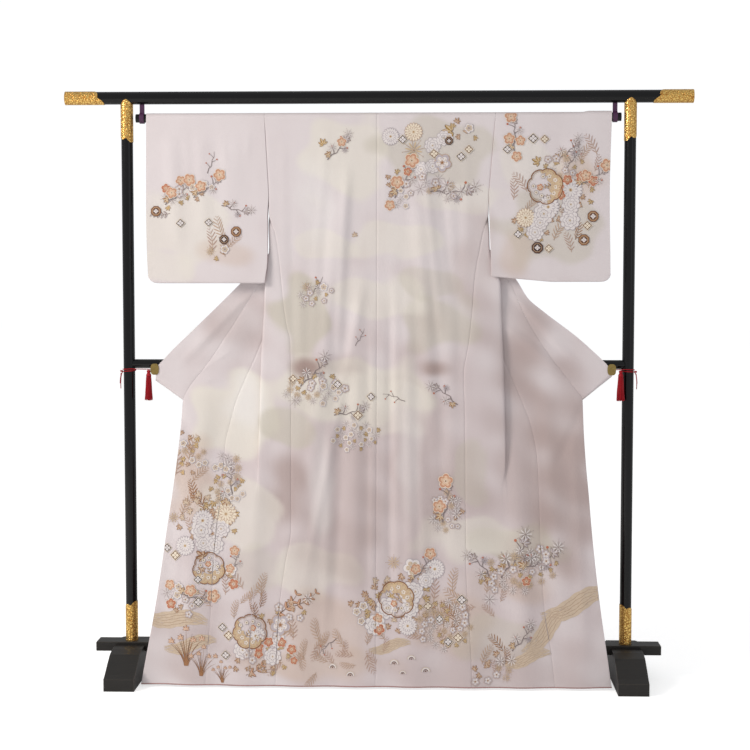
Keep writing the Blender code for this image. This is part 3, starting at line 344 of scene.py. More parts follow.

# The dyed ground and patches of painted shade: name of the tint, centre (x, z), half size (x, z), strength
CLOUDS_AND_SHADE = (
    # Painted shade and a pinker dye: the blush tints and darkens the whole lower half
    ("blush", 0.080, 0.420, 0.800, 0.800, 0.38),
    ("cream", -0.080, 1.480, 0.120, 0.120, 0.75),
    ("cream", 0.060, 1.250, 0.140, 0.050, 0.60),
    ("cream", -0.150, 1.240, 0.090, 0.045, 0.55),
    ("cream", 0.250, 1.370, 0.110, 0.040, 0.55),
    ("sage", 0.170, 1.500, 0.170, 0.090, 0.55),
    ("sage", -0.215, 1.040, 0.080, 0.100, 0.75),
    ("sage", 0.170, 1.020, 0.110, 0.080, 0.60),
    ("cream", -0.010, 1.090, 0.150, 0.060, 0.60),
    ("cream", -0.080, 0.830, 0.240, 0.090, 0.80),
    ("mauve", -0.196, 0.890, 0.048, 0.026, 0.95),
    ("mauve", 0.158, 0.888, 0.040, 0.026, 0.80),
    ("sage", 0.150, 1.130, 0.080, 0.050, 0.45),
    # Painted shade: a mauve band along a fold on the left back
    ("mauve", -0.252, 0.545, 0.056, 0.125, 0.62),
    ("mauve", 0.235, 0.545, 0.090, 0.100, 0.34),
    ("cream", -0.400, 0.760, 0.130, 0.110, 0.85),
    ("white", -0.370, 0.790, 0.060, 0.080, 0.60),
    ("sage", -0.250, 0.730, 0.070, 0.070, 0.65),
    ("tan", -0.520, 0.560, 0.075, 0.120, 0.55),
    ("cream", -0.380, 0.480, 0.120, 0.100, 0.60),
    ("sage", -0.330, 0.330, 0.090, 0.060, 0.35),
    ("cream", -0.180, 0.330, 0.130, 0.070, 0.55),
    ("tan", -0.150, 0.180, 0.140, 0.085, 0.45),
    ("tan", -0.180, 0.070, 0.200, 0.045, 0.50),
    ("sage", 0.400, 0.400, 0.140, 0.055, 0.75),
    ("cream", 0.280, 0.420, 0.160, 0.060, 0.60),
    ("tan", 0.210, 0.190, 0.110, 0.090, 0.50),
    ("tan", 0.400, 0.300, 0.120, 0.060, 0.40),
    ("sage", 0.330, 0.140, 0.120, 0.060, 0.40),
    ("cream", -0.540, 1.290, 0.130, 0.110, 0.60),
    ("cream", -0.600, 1.180, 0.080, 0.050, 0.55),
    ("tan", -0.430, 1.215, 0.070, 0.040, 0.40),
    ("sage", 0.480, 1.280, 0.140, 0.100, 0.55),
    ("tan", 0.560, 1.430, 0.080, 0.070, 0.55),
    ("cream", 0.420, 1.470, 0.090, 0.060, 0.50),
    ("mauve", 0.400, 0.950, 0.090, 0.120, 0.40),
    # Painted shade in the next five rows: broad mauve that darkens the right wing and the lower body
    ("mauve", 0.530, 0.600, 0.090, 0.260, 0.62),
    ("mauve", 0.420, 0.640, 0.100, 0.340, 0.35),
    ("mauve", -0.080, 0.560, 0.100, 0.280, 0.30),
    ("mauve", 0.110, 0.620, 0.130, 0.300, 0.28),
    ("mauve", -0.120, 0.380, 0.110, 0.120, 0.25),
    ("mauve", 0.280, 1.180, 0.070, 0.160, 0.25),
    ("mauve", -0.110, 0.905, 0.110, 0.030, 0.22),
    ("cream", -0.010, 0.780, 0.150, 0.085, 0.45),
    ("white", -0.170, 1.360, 0.060, 0.110, 0.40),
    ("white", -0.150, 0.560, 0.034, 0.150, 0.40),
    ("white", 0.090, 0.660, 0.034, 0.180, 0.30),
    ("sage", 0.270, 0.600, 0.050, 0.090, 0.40),
    ("mauve", -0.520, 0.110, 0.110, 0.110, 0.30),
    ("mauve", 0.350, 0.050, 0.330, 0.090, 0.22),
    # Painted shadow: mauve on the left wing under the sleeve
    ("mauve", -0.410, 1.020, 0.080, 0.080, 0.32),
    ("tan", 0.385, 1.220, 0.050, 0.060, 0.40),
)
RIMS = {"blush": (1.20, 0.35), "mauve": (1.45, 0.35), "tan": (1.30, 0.55), "white": (1.40, 0.30)}
PLAIN_RIM = (1.14, 0.82)
TINTS = {
    "cream": "#E9E3D8",
    "sage": "#CBC4B4",
    "mauve": "#A48D86",
    "white": "#F2EFED",
    "tan": "#D0B8A4",
    "blush": "#C2ADAC",
}

# Paints for the flowers
PAINTS = {
    "apricot": "#CE9A7E",
    "peach": "#E5C4A9",
    "coral": "#C4785C",
    "bronze": "#A97B55",
    "bronze_pale": "#B89C84",
    "brown": "#74503B",
    "ink": "#40292A",
    "tan": "#C9AC95",
    "straw": "#D5BE9C",
    "mauve_grey": "#A79896",
    "slate": "#8C7F7E",
    "lilac": "#C3BBC1",
    "white": "#EBE6E5",
    "cream": "#F3E8D4",
    "gold": "#C6A15C",
    "sand": "#D6C4AE",
    "rose": "#BFA091",
}


class ClothSettings(bpy.types.PropertyGroup):
    """Sizes and colours of the silk."""

    wall: bpy.props.FloatProperty(
        name="Wall", description="Thickness of silk and lining together", default=0.0012, unit="LENGTH"
    )
    spacing: bpy.props.FloatProperty(
        name="Spacing", description="Distance between rows of the cloth's grid", default=0.007, unit="LENGTH"
    )
    thread: bpy.props.FloatProperty(
        name="Crepe grain", description="Size of one grain of the crepe", default=0.0022, unit="LENGTH"
    )
    silk: bpy.props.StringProperty(
        name="Silk", description="Colour of the undyed ground, as hex", default="#E1D8D9"
    )
    lining: bpy.props.StringProperty(
        name="Lining", description="Colour of the lining at the hem and openings, as hex", default="#B08A86"
    )


class TrimSettings(bpy.types.PropertyGroup):
    """Sizes and colours of the cords, tassels and metal."""

    cord_radius: bpy.props.FloatProperty(
        name="Cord radius", description="Radius of the twisted cord", default=0.0015, unit="LENGTH"
    )
    twist: bpy.props.FloatProperty(
        name="Twist",
        description="Length of one turn of the cord's two strands",
        default=0.006,
        unit="LENGTH",
    )
    strands: bpy.props.IntProperty(
        name="Strands", description="Threads in each tassel", default=120
    )
    red: bpy.props.StringProperty(
        name="Red", description="Colour of the cord, as hex", default="#C20A1E"
    )
    gilt: bpy.props.StringProperty(
        name="Gilt", description="Colour of the gilt metal, as hex", default="#F4CB78"
    )
    lacquer: bpy.props.StringProperty(
        name="Lacquer", description="Colour of the lacquer, as hex", default="#08080A"
    )


class StageSettings(bpy.types.PropertyGroup):
    """The floor, the light and the camera."""

    floor: bpy.props.StringProperty(
        name="Floor", description="Colour of the floor, as hex", default="#F4F4F3"
    )
    key: bpy.props.FloatProperty(
        name="Key light", description="Power of the main light, in watts", default=141.0
    )
    sky: bpy.props.FloatProperty(
        name="Sky", description="Strength of the light from all round", default=0.56
    )
    lens: bpy.props.FloatProperty(
        name="Lens", description="Focal length of the camera, in millimetres", default=75.94
    )


def linear(code):
    """A hex sRGB colour as three linear values."""
    parts = np.array([int(code[k : k + 2], 16) for k in (1, 3, 5)]) / 255
    return np.where(parts <= 0.04045, parts / 12.92, ((parts + 0.055) / 1.055) ** 2.4)


def ease(value, start, end):
    """0 at start and 1 at end, level at both: 3t^2 - 2t^3."""
    t = np.clip((value - start) / (end - start), 0.0, 1.0)
    return t * t * (3 - 2 * t)


def slopes(chord):
    """The slope at each row: the harmonic mean of the slopes on both sides, and nothing where they
    turn."""
    before, after = chord[:-1], chord[1:]
    turning = before * after <= 0
    total = np.where(turning, 1.0, before + after)
    return np.concatenate([chord[:1], np.where(turning, 0.0, 2 * before * after / total), chord[-1:]])


def cubic(t, low, high, rise, fall):
    """The cubic from low to high as t goes from 0 to 1, with the slopes rise and fall at its ends."""
    return (
        low * (1 + 2 * t) * (1 - t) ** 2
        + rise * t * (1 - t) ** 2
        + high * t * t * (3 - 2 * t)
        + fall * t * t * (t - 1)
    )


def follow(rows, at, column=1):
    """A cubic through one column of a table over its first column."""
    table = np.array(sorted(rows), float)
    x, y = table[:, 0], table[:, column]
    slope = slopes(np.diff(y) / np.diff(x))
    at = np.clip(at, x[0], x[-1])
    k = np.clip(np.searchsorted(x, at) - 1, 0, len(x) - 2)
    width = x[k + 1] - x[k]
    return cubic((at - x[k]) / width, y[k], y[k + 1], width * slope[k], width * slope[k + 1])


def knit(lines, s):
    """The same cubic through four places at s = 0, 1, 2 and 3, each an array of the shape of s."""
    lines = np.stack([line + 0 * s for line in lines])
    slope = slopes(lines[1:] - lines[:-1])
    k = np.clip(np.floor(s), 0, 2).astype(int) + 0 * lines[0].astype(int)
    low, high = (np.take_along_axis(lines, (k + step)[None], 0)[0] for step in (0, 1))
    rise, fall = (np.take_along_axis(slope, (k + step)[None], 0)[0] for step in (0, 1))
    return cubic(s - k, low, high, rise, fall)


def body_line(side, column, height):
    return follow(BODY[side], height, BODY_COLUMNS.index(column))


def sleeve_line(side, column, height):
    return follow(SLEEVE[side], height, SLEEVE_COLUMNS.index(column))


def armhole(side, height):
    """The armhole seam is straight from the shoulder to its low end."""
    top, low = SLEEVE[side][0], SLEEVE[side][1]
    return low[1] + (top[1] - low[1]) * (height - low[0]) / (top[0] - low[0])


def side_seam(side, height):
    """The armhole seam above its low end, and the body's side seam below it."""
    return np.where(height >= ARMHOLE_LOW, armhole(side, height), body_line(side, "side", height))


def sleeve_seam(side, height):
    """The armhole seam above its low end, and the sleeve's own inner edge below it."""
    return np.where(height >= ARMHOLE_LOW, armhole(side, height), sleeve_line(side, "inner", height))


def back_depth(height):
    """The back leans forward by LEAN times the share of its drop to the power LEAN_POWER."""
    drop = np.clip(1 - height / ROD_HEIGHT, 0, None)
    return -OVER_ROD - LEAN * drop**LEAN_POWER


def layer_gap(height):
    spread = np.clip((height - 1.13) / (ROD_HEIGHT - 1.13), 0, 1)
    return LAYER + (2 * OVER_ROD - LAYER) * spread


def front_depth(height):
    return back_depth(height) + layer_gap(height)


def edge_depth(height):
    low = follow(EDGE_DEPTH, height)
    top = front_depth(height) + COLLAR_INSET
    return low + (top - low) * ease(height, 1.330, 1.370)


def ridges(table, x, z):
    """The sum of straight ridges: rise times a bell across the line, faded at both ends."""
    total = np.zeros(np.broadcast(x, z).shape)
    for top_x, top_z, low_x, low_z, rise, half_width in table:
        along = (top_z - z) / (top_z - low_z)
        line = top_x + (low_x - top_x) * along
        fade = ease(along, 0.0, 0.25) * ease(along, 1.0, 0.75)
        total = total + rise * fade * np.exp(-(((x - line) / half_width) ** 2))
    return total


def drape(x, z):
    """A slow wave near the hem less the wings' ridges, and flat where the clip grips."""
    wave = 0.003 * ease(z, 0.75, 0.15) * np.sin(2 * math.pi * x / 0.155 + 0.6)
    free = 1 - ease(np.abs(x), 0.545, 0.585) * ease(z, 0.80, 0.84)
    return (wave - ridges(WING_RIDGES, x, z)) * free


def base_depth(side, out, height):
    """From the back's depth at the side seam to the edge's depth at the overlap's edge."""
    start, end = body_line(side, "side", height), body_line(side, "edge", height)
    share = np.clip((out - start) / np.maximum(end - start, 0.1), 0, 1) ** 1.5
    reach = (edge_depth(height) - back_depth(height)) * share * ease(height, 1.13, 0.97)
    return back_depth(height) + reach + drape(side * out, height)


def closing(height):
    return ease(height, 0.50, 0.72)


def step_share(s, middle, half=0.2):
    return ease(s, middle - half, middle + half)


def over_rod(z, below):
    """The depth below the rod's height, and an arc round the rod over it."""
    arc = np.sqrt(np.clip(1 - ((z - ROD_HEIGHT) / OVER_ROD) ** 2, 0.02, 1))
    return np.where(z > ROD_HEIGHT, -OVER_ROD * arc, below)


def back_surface(out, z, side):
    """Depth of the back: its lean, the drape and its ridges, which fade towards the side seam."""
    fade = 1 - np.clip(out / side_seam(side, z), 0, 1) ** 6
    x = side * out
    return over_rod(z, back_depth(z)) + drape(x, z) - ridges(BACK_RIDGES, x, z) * fade


def front_lines(side, z):
    """Out of side seam, outer fold, inner fold and overlap seam at height z."""
    return [side_seam(side, z)] + [body_line(side, key, z) for key in ("fold", "inner", "overlap")]


def front_surface(side, s, z):
    """Out and depth of the front at s along its folds, where 0 to 1 runs from side seam to outer
    fold, 1 to 2 back in behind, and 2 to 3 out again to the overlap's seam. Each fold adds a layer,
    and the step between layers spreads along a leg that is short."""
    lines = front_lines(side, z)
    out = knit(lines, s)
    legs = [lines[k + 1] - lines[k] for k in range(3)]
    short = [w * np.exp(-((leg / SHORT_LEG) ** 2)) for w, leg in zip((0.55, 1.0, 0.55), legs)]
    first = step_share(s, 1) + short[0] * (ease(s, 0, 1.1) - step_share(s, 1))
    first = first + short[1] * (ease(s, 0.7, 1.7) - first)
    second = step_share(s, 2) + short[2] * (ease(s, 1.9, 3) - step_share(s, 2))
    second = second + short[1] * (ease(s, 1.3, 2.3) - second)
    first = layer_gap(z) * (1 - ease(z, 1.345, 1.285) * (1 - first))
    second = LAYER * ease(z, 1.37, 1.32) * second
    return out, base_depth(side, out, z) + (first + second) * closing(z)


def front_reach(side, out, z, first_s, last_s):
    """The depth where the leg from first_s to last_s passes a given out, found by halving."""
    low, high = first_s + 0 * out, last_s + 0 * out
    for _ in range(18):
        middle = (low + high) / 2
        short_of = knit(front_lines(side, z), middle) < out
        low, high = np.where(short_of, middle, low), np.where(short_of, high, middle)
    return front_surface(side, (low + high) / 2, z)[1]


def overlap_surface(side, share, z):
    """Out and depth of the overlap at a share of its width, from the fold behind to its edge."""
    leg = body_line(side, "overlap", z) - body_line(side, "inner", z)
    start = body_line(side, "overlap", z) + 0.0014 * np.exp(-((leg / SHORT_LEG) ** 2))
    end = body_line(side, "edge", z)
    out = start + (end - start) * share
    u = ease(share, 0, 1)
    behind = (layer_gap(z) + np.maximum(LAYER * ease(z, 1.37, 1.32), OVERLAP_CLEAR)) * closing(z)
    rest = edge_depth(z) + drape(side * end, z) - base_depth(side, end, z)
    return out, base_depth(side, out, z) + behind * (1 - u) + rest * u


def sleeve_ridges(side, out, z, share):
    """The sleeve's ridges, which fade over the rod and at the armhole."""
    return ridges(SLEEVE_RIDGES, side * out, z) * (ease(z, 1.58, 1.50) * ease(share, 0.0, 0.12))


def sleeve_surface(side, out, z):
    """Depth of the sleeve's near layer: the back's lean, less its swing and its ridges."""
    inner = sleeve_seam(side, z)
    share = (out - inner) / (sleeve_line(side, "outer", z) - inner)
    depth = over_rod(z, back_depth(z) - sleeve_line(side, "swing", z))
    return depth - sleeve_ridges(side, out, z, share)


def ground_colour(x, z):
    """The silk's colour blended towards the tint of each dyed cloud and each patch of painted shade. Each
    is an ellipse whose strength falls off around its rim, softly or in a narrow band, and its rim wanders by
    a slow wave."""
    colour = np.zeros(x.shape + (3,)) + linear(bpy.context.scene.kimono_cloth.silk)
    wander = 0.16 * np.sin(x * 41 + 1.3 * np.sin(z * 23)) + 0.12 * np.sin(z * 57 + x * 19)
    for tint, cx, cz, half_x, half_z, strength in CLOUDS_AND_SHADE:
        span = np.sqrt(((x - cx) / half_x) ** 2 + ((z - cz) / half_z) ** 2) + wander
        weight = strength * ease(span, *RIMS.get(tint, PLAIN_RIM))
        colour += weight[..., None] * (linear(TINTS[tint]) - colour)
    return colour


def new_mesh(name, points, faces, finishes):
    mesh = bpy.data.meshes.new(name)
    faces = faces.tolist() if hasattr(faces, "tolist") else faces
    mesh.from_pydata(points.reshape(-1, 3).tolist(), [], faces)
    piece = bpy.data.objects.new(name, mesh)
    bpy.context.scene.collection.objects.link(piece)
    for finish in finishes:
        mesh.materials.append(finish)
    mesh.shade_smooth()
    return piece


def grid_faces(rows, columns, wrap_rows=False, wrap_columns=False, flip=False):
    """The squares between neighbouring points of a grid, closed on itself where asked."""
    index = np.arange(rows * columns).reshape(rows, columns)
    if wrap_rows:
        index = np.concatenate([index, index[:1]], axis=0)
    if wrap_columns:
        index = np.concatenate([index, index[:, :1]], axis=1)
    corners = [index[:-1, :-1], index[1:, :-1], index[1:, 1:], index[:-1, 1:]]
    return np.stack(corners[::-1] if flip else corners, axis=-1).reshape(-1, 4)


def paint(piece, name, colours):
    """Stores one linear colour for each point of the mesh."""
    layer = piece.data.attributes.new(name, "FLOAT_COLOR", "POINT")
    full = np.concatenate([colours.reshape(-1, 3), np.ones((colours.size // 3, 1))], axis=1)
    layer.data.foreach_set("color", full.astype(np.float32).ravel())


def cloth(name, points, side, finishes, wrap=False, wall=None, hem=False):
    """A shell on a grid of points: silk outside, lining inside and round the rim. At a hem the lining
    also shows as a narrow roll, the last row of the grid."""
    rows, columns = points.shape[:2]
    faces = grid_faces(rows, columns, wrap_rows=wrap, flip=side == LEFT)
    piece = new_mesh(f"silk_{name}", points, faces, finishes)
    if hem:
        place = np.arange(len(faces)) >= len(faces) - (columns - 1)
        piece.data.polygons.foreach_set("material_index", place.astype(np.int32))
    # The ground colour, dyed clouds and patches of painted shade, on each point
    paint(piece, "dye_and_shade", ground_colour(points[..., 0], points[..., 2]))
    shell = piece.modifiers.new("wall", "SOLIDIFY")
    shell.thickness = wall or bpy.context.scene.kimono_cloth.wall
    shell.offset = 0.0
    shell.material_offset = 1
    shell.material_offset_rim = 1
    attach(piece, "root")
    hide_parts(name)
    return piece


def spread_ends(count, edge=0.02):
    """Shares from 0 to 1, closer together at both ends so that seams can roll in."""
    t = np.linspace(0, 1, count)
    extra = np.array([edge * 0.25, edge * 0.6])
    return np.unique(np.concatenate([t, extra, 1 - extra]))


def seam_roll(distance):
    """Cloth turns in by up to 0.9 mm in the last 4 mm before a seam."""
    return 0.0009 * np.exp(-((distance / 0.0022) ** 2))


def heights_down(top, spacing):
    rows = np.linspace(top, HEM_HEIGHT, int(round((top - HEM_HEIGHT) / spacing)) + 1)
    return np.append(rows[:-1], (HEM_HEIGHT + HEM_ROLL, HEM_HEIGHT))


# Materials

# Places of the Mix node's sockets for colours, and its settings
FACTOR, FIRST, SECOND, MIXED = 0, 6, 7, 2
BLEND = {"data_type": "RGBA"}
MULTIPLY = {"data_type": "RGBA", "blend_type": "MULTIPLY"}
SOFT_LIGHT = {"data_type": "RGBA", "blend_type": "SOFT_LIGHT"}
SILK_IOR = 1.54
LACQUER_IOR = 1.5


def feed(tree, node, inputs):
    """Gives a node's inputs, each a value, a hex colour or a socket to link from."""
    for key, value in inputs.items():
        if isinstance(value, bpy.types.NodeSocket):
            tree.links.new(value, node.inputs[key])
        else:
            node.inputs[key].default_value = (*linear(value), 1) if isinstance(value, str) else value


def add(tree, kind, inputs, output=0, **settings):
    """Adds one node with its settings and inputs, and returns one of its outputs."""
    made = tree.nodes.new(f"ShaderNode{kind}")
    for key, value in settings.items():
        setattr(made, key, value)
    feed(tree, made, inputs)
    return made.outputs[output]


def new_material(name):
    """A material with its tree, its Principled shader and its Object coordinates."""
    material = bpy.data.materials.new(name)
    material.use_nodes = True
    tree = material.node_tree
    return material, tree, tree.nodes["Principled BSDF"], add(tree, "TexCoord", {}, "Object")


def weave(tree, place, thread):
    """Warp along Z and weft along X: the product of two sines, one period for two threads."""
    waves = []
    for axis in ("X", "Z"):
        along = add(tree, "SeparateXYZ", {"Vector": place}, axis)
        turn = add(tree, "Math", {0: along, 1: math.pi / thread}, operation="MULTIPLY")
        waves.append(add(tree, "Math", {0: turn}, operation="SINE"))
    return add(tree, "Math", {0: waves[0], 1: waves[1]}, operation="MULTIPLY")


def silk_crepe():
    """Resist-dyed silk crepe. Its twisted weft gives a pebbled grain with a soft low sheen, and the dyeing
    takes a little unevenly. Its colour comes from the cloth's attribute of dyed clouds and painted shade,
    and the grain lightens it in painted glints. The grain is drawn at 2.2 mm, coarser than real, so that it
    shows."""
    thread = bpy.context.scene.kimono_cloth.thread
    material, tree, shader, place = new_material("silk_crepe")
    # The cloth's colour attribute: dyed clouds and patches of painted shade
    dye_and_shade = add(tree, "Attribute", {}, "Color", attribute_name="dye_and_shade")
    drawn = add(tree, "Mapping", {"Vector": place, "Scale": (1.0, 1.0, 0.55)})
    grain = add(tree, "TexNoise", {"Vector": drawn, "Scale": 1 / thread, "Detail": 3.0, "Roughness": 0.6})
    tall = add(tree, "Mapping", {"Vector": place, "Scale": (1.0, 1.0, 0.35)})
    uneven = add(tree, "TexNoise", {"Vector": tall, "Scale": 1 / 0.09, "Detail": 3.0, "Roughness": 0.55})
    taken = add(tree, "MapRange", {"Value": uneven, "To Max": 0.22})
    tone = add(tree, "Mix", {FACTOR: taken, FIRST: dye_and_shade, SECOND: "#B9A5A5"}, MIXED, **MULTIPLY)
    # Painted glints: the crepe grain lightens the colour towards white in small spots
    lit = add(tree, "MapRange", {"Value": grain, "To Max": 0.16})
    height = {0: weave(tree, place, thread / 2), 1: 0.3, 2: grain}
    height = add(tree, "Math", height, operation="MULTIPLY_ADD")
    feed(tree, shader, {
        "Base Color": add(tree, "Mix", {FACTOR: lit, FIRST: tone, SECOND: "#FFFFFF"}, MIXED, **SOFT_LIGHT),
        "Roughness": add(tree, "MapRange", {"Value": grain, "To Min": 0.46, "To Max": 0.66}),
        "Normal": add(tree, "Bump", {"Height": height, "Distance": 0.0004, "Strength": 0.45}),
        "Sheen Weight": 0.35,
        "Sheen Roughness": 0.45,
        "Specular IOR Level": 0.32,
        "IOR": SILK_IOR,
    })
    return material


def silk_lining():
    """Smooth plain-weave lining, dyed dusty pink at the hem and in the sleeves and paling to off-white
    higher in the body. Its flat weave, drawn at 0.9 mm so that it shows, gives it more gloss than
    the crepe."""
    material, tree, shader, place = new_material("silk_lining")
    height = add(tree, "SeparateXYZ", {"Vector": place}, "Z")
    paling = {"Value": height, "From Min": 0.55, "From Max": 0.95}
    paling = add(tree, "MapRange", paling, interpolation_type="SMOOTHSTEP")
    out = add(tree, "Math", {0: add(tree, "SeparateXYZ", {"Vector": place}, "X")}, operation="ABSOLUTE")
    upper = add(tree, "MapRange", {"Value": height, "From Min": 1.05, "From Max": 1.20})
    far = add(tree, "MapRange", {"Value": out, "From Min": 0.28, "From Max": 0.31})
    sleeves = add(tree, "Math", {0: upper, 1: far}, operation="MULTIPLY")
    body = {FACTOR: paling, FIRST: bpy.context.scene.kimono_cloth.lining, SECOND: "#E4D6D4"}
    body = add(tree, "Mix", body, MIXED, **BLEND)
    colour = add(tree, "Mix", {FACTOR: sleeves, FIRST: body, SECOND: "#CFA5A4"}, MIXED, **BLEND)
    cloudy = add(tree, "TexNoise", {"Vector": place, "Scale": 1 / 0.05})
    taken = add(tree, "MapRange", {"Value": cloudy, "To Max": 0.2})
    threads = weave(tree, place, 0.0009)
    feed(tree, shader, {
        "Base Color": add(tree, "Mix", {FACTOR: taken, FIRST: colour, SECOND: "#A98A88"}, MIXED, **MULTIPLY),
        "Roughness": add(tree, "MapRange", {"Value": cloudy, "To Min": 0.38, "To Max": 0.5}),
        "Normal": add(tree, "Bump", {"Height": threads, "Distance": 0.0002, "Strength": 0.3}),
        "Sheen Weight": 0.2,
        "Sheen Roughness": 0.3,
        "Specular IOR Level": 0.4,
        "IOR": SILK_IOR,
    })
    return material


def painted_silk():
    """Dye brushed over paste-resist outlines. It sinks into the crepe, so it keeps the cloth's dull
    grain, and it pools a little darker in places."""
    material, tree, shader, place = new_material("painted_silk")
    tint = add(tree, "Attribute", {}, "Color", attribute_name="tint")
    pool = add(tree, "TexNoise", {"Vector": place, "Scale": 1 / 0.006, "Roughness": 0.6})
    deeper = add(tree, "MapRange", {"Value": pool, "To Max": 0.35})
    fineness = 1 / bpy.context.scene.kimono_cloth.thread
    grain = add(tree, "TexNoise", {"Vector": place, "Scale": fineness, "Detail": 3.0, "Roughness": 0.6})
    feed(tree, shader, {
        "Base Color": add(tree, "Mix", {FACTOR: deeper, FIRST: tint, SECOND: "#B08C7A"}, MIXED, **MULTIPLY),
        "Roughness": add(tree, "MapRange", {"Value": grain, "To Min": 0.5, "To Max": 0.7}),
        "Normal": add(tree, "Bump", {"Height": grain, "Distance": 0.0003, "Strength": 0.35}),
        "Sheen Weight": 0.2,
        "Sheen Roughness": 0.5,
        "Specular IOR Level": 0.3,
        "IOR": SILK_IOR,
    })
    return material


def couched_gold():
    """Gold leaf and couched gold thread on silk: a soft broken metal gloss, from short parallel
    threads 0.8 mm apart, dulled where the leaf is rubbed."""
    material, tree, shader, place = new_material("couched_gold")
    tint = add(tree, "Attribute", {}, "Color", attribute_name="tint")
    rub = add(tree, "TexNoise", {"Vector": place, "Scale": 1 / 0.004, "Detail": 3.0, "Roughness": 0.65})
    dulled = add(tree, "MapRange", {"Value": rub, "To Max": 0.5})
    threads = weave(tree, place, 0.0008)
    feed(tree, shader, {
        "Base Color": add(tree, "Mix", {FACTOR: dulled, FIRST: tint, SECOND: "#8A6A45"}, MIXED, **MULTIPLY),
        "Roughness": add(tree, "MapRange", {"Value": rub, "To Min": 0.34, "To Max": 0.62}),
        "Normal": add(tree, "Bump", {"Height": threads, "Distance": 0.0002, "Strength": 0.5}),
        "Metallic": 0.75,
    })
    return material


def polished_lacquer():
    """Polished urushi over wood: deep black with a clear wet gloss, faint long ripples left by
    polishing, and fine dust-like scuffs that break the highlight."""
    material, tree, shader, place = new_material("polished_lacquer")
    scuff = add(tree, "TexNoise", {"Vector": place, "Scale": 1 / 0.012, "Detail": 4.0, "Roughness": 0.7})
    drawn = add(tree, "Mapping", {"Vector": place, "Scale": (0.4, 1.0, 0.4)})
    ripple = add(tree, "TexNoise", {"Vector": drawn, "Scale": 1 / 0.05, "Detail": 1.0, "Roughness": 0.4})
    dusty = add(tree, "MapRange", {"Value": scuff, "To Max": 0.5})
    colour = {FACTOR: dusty, FIRST: bpy.context.scene.kimono_trim.lacquer, SECOND: "#0C0C0E"}
    feed(tree, shader, {
        "Base Color": add(tree, "Mix", colour, MIXED, **BLEND),
        "Roughness": add(tree, "MapRange", {"Value": scuff, "To Min": 0.10, "To Max": 0.24}),
        "Normal": add(tree, "Bump", {"Height": ripple, "Distance": 0.0006, "Strength": 0.12}),
        "Specular IOR Level": 0.3,
        "IOR": LACQUER_IOR,
        "Coat Weight": 0.1,
        "Coat Roughness": 0.04,
        "Coat IOR": LACQUER_IOR,
    })
    return material


def stained_base():
    """Wood stained black and left satin: open grain shows as fine dark lines along the beam and
    feet, with rubbed, slightly browner edges."""
    material, tree, shader, place = new_material("stained_base")
    along = add(tree, "Mapping", {"Vector": place, "Scale": (0.12, 0.12, 1.0)})
    grain = add(tree, "TexNoise", {"Vector": along, "Scale": 1 / 0.004, "Detail": 5.0, "Roughness": 0.7})
    edge = {0: add(tree, "Bevel", {"Radius": 0.004}, samples=4), 1: add(tree, "NewGeometry", {}, "Normal")}
    edge = add(tree, "VectorMath", edge, "Value", operation="DOT_PRODUCT")
    rubbed = add(tree, "MapRange", {"Value": edge, "From Min": 0.99, "From Max": 0.90, "To Max": 0.55})
    colour = add(tree, "Mix", {FACTOR: grain, FIRST: "#1A1816", SECOND: "#2B2825"}, MIXED, **BLEND)
    feed(tree, shader, {
        "Base Color": add(tree, "Mix", {FACTOR: rubbed, FIRST: colour, SECOND: "#4A423A"}, MIXED, **BLEND),
        "Roughness": add(tree, "MapRange", {"Value": grain, "To Min": 0.42, "To Max": 0.62}),
        "Normal": add(tree, "Bump", {"Height": grain, "Distance": 0.0004, "Strength": 0.3}),
        "Specular IOR Level": 0.4,
        "IOR": LACQUER_IOR,
    })
    return material


def chased_gilt():
    """Gilded brass, chased all over with small leaf scrolls on a ring-punched ground. The raised
    scrolls shine and the ground between them is darker and duller."""
    material, tree, shader, place = new_material("chased_gilt")
    bent = add(tree, "TexNoise", {"Vector": place, "Scale": 1 / 0.009, "Detail": 1.0})
    moved = {0: bent, 1: (0.006, 0.006, 0.006), 2: place}
    moved = add(tree, "VectorMath", moved, operation="MULTIPLY_ADD")
    scrolls = {"Vector": moved, "Scale": 1 / 0.0075}
    scrolls = add(tree, "TexVoronoi", scrolls, "Distance", feature="DISTANCE_TO_EDGE")
    line = add(tree, "MapRange", {"Value": scrolls, "From Min": 0.03, "From Max": 0.12})
    punched = add(tree, "TexVoronoi", {"Vector": place, "Scale": 1 / 0.0022}, "Distance")
    ring = add(tree, "MapRange", {"Value": punched, "To Max": 0.4})
    relief = add(tree, "Math", {0: line, 1: ring, 2: line}, operation="MULTIPLY_ADD")
    colour = {FACTOR: line, FIRST: "#B9803C", SECOND: bpy.context.scene.kimono_trim.gilt}
    feed(tree, shader, {
        "Base Color": add(tree, "Mix", colour, MIXED, **BLEND),
        "Roughness": add(tree, "MapRange", {"Value": line, "To Min": 0.46, "To Max": 0.24}),
        "Normal": add(tree, "Bump", {"Height": relief, "Distance": 0.0006, "Strength": 0.8}),
        "Metallic": 1.0,
    })
    return material


def painted_iron():
    """Iron strap painted dark plum: an even satin film with slight brush marks."""
    material, tree, shader, place = new_material("painted_iron")
    brushed = add(tree, "Mapping", {"Vector": place, "Scale": (1.0, 1.0, 0.2)})
    marks = add(tree, "TexNoise", {"Vector": brushed, "Scale": 1 / 0.003, "Detail": 3.0, "Roughness": 0.6})
    feed(tree, shader, {
        "Base Color": add(tree, "Mix", {FACTOR: marks, FIRST: "#3C1D3A", SECOND: "#50284E"}, MIXED, **BLEND),
        "Roughness": add(tree, "MapRange", {"Value": marks, "To Min": 0.3, "To Max": 0.48}),
        "Normal": add(tree, "Bump", {"Height": marks, "Distance": 0.0002, "Strength": 0.2}),
        "IOR": LACQUER_IOR,
    })
    return material


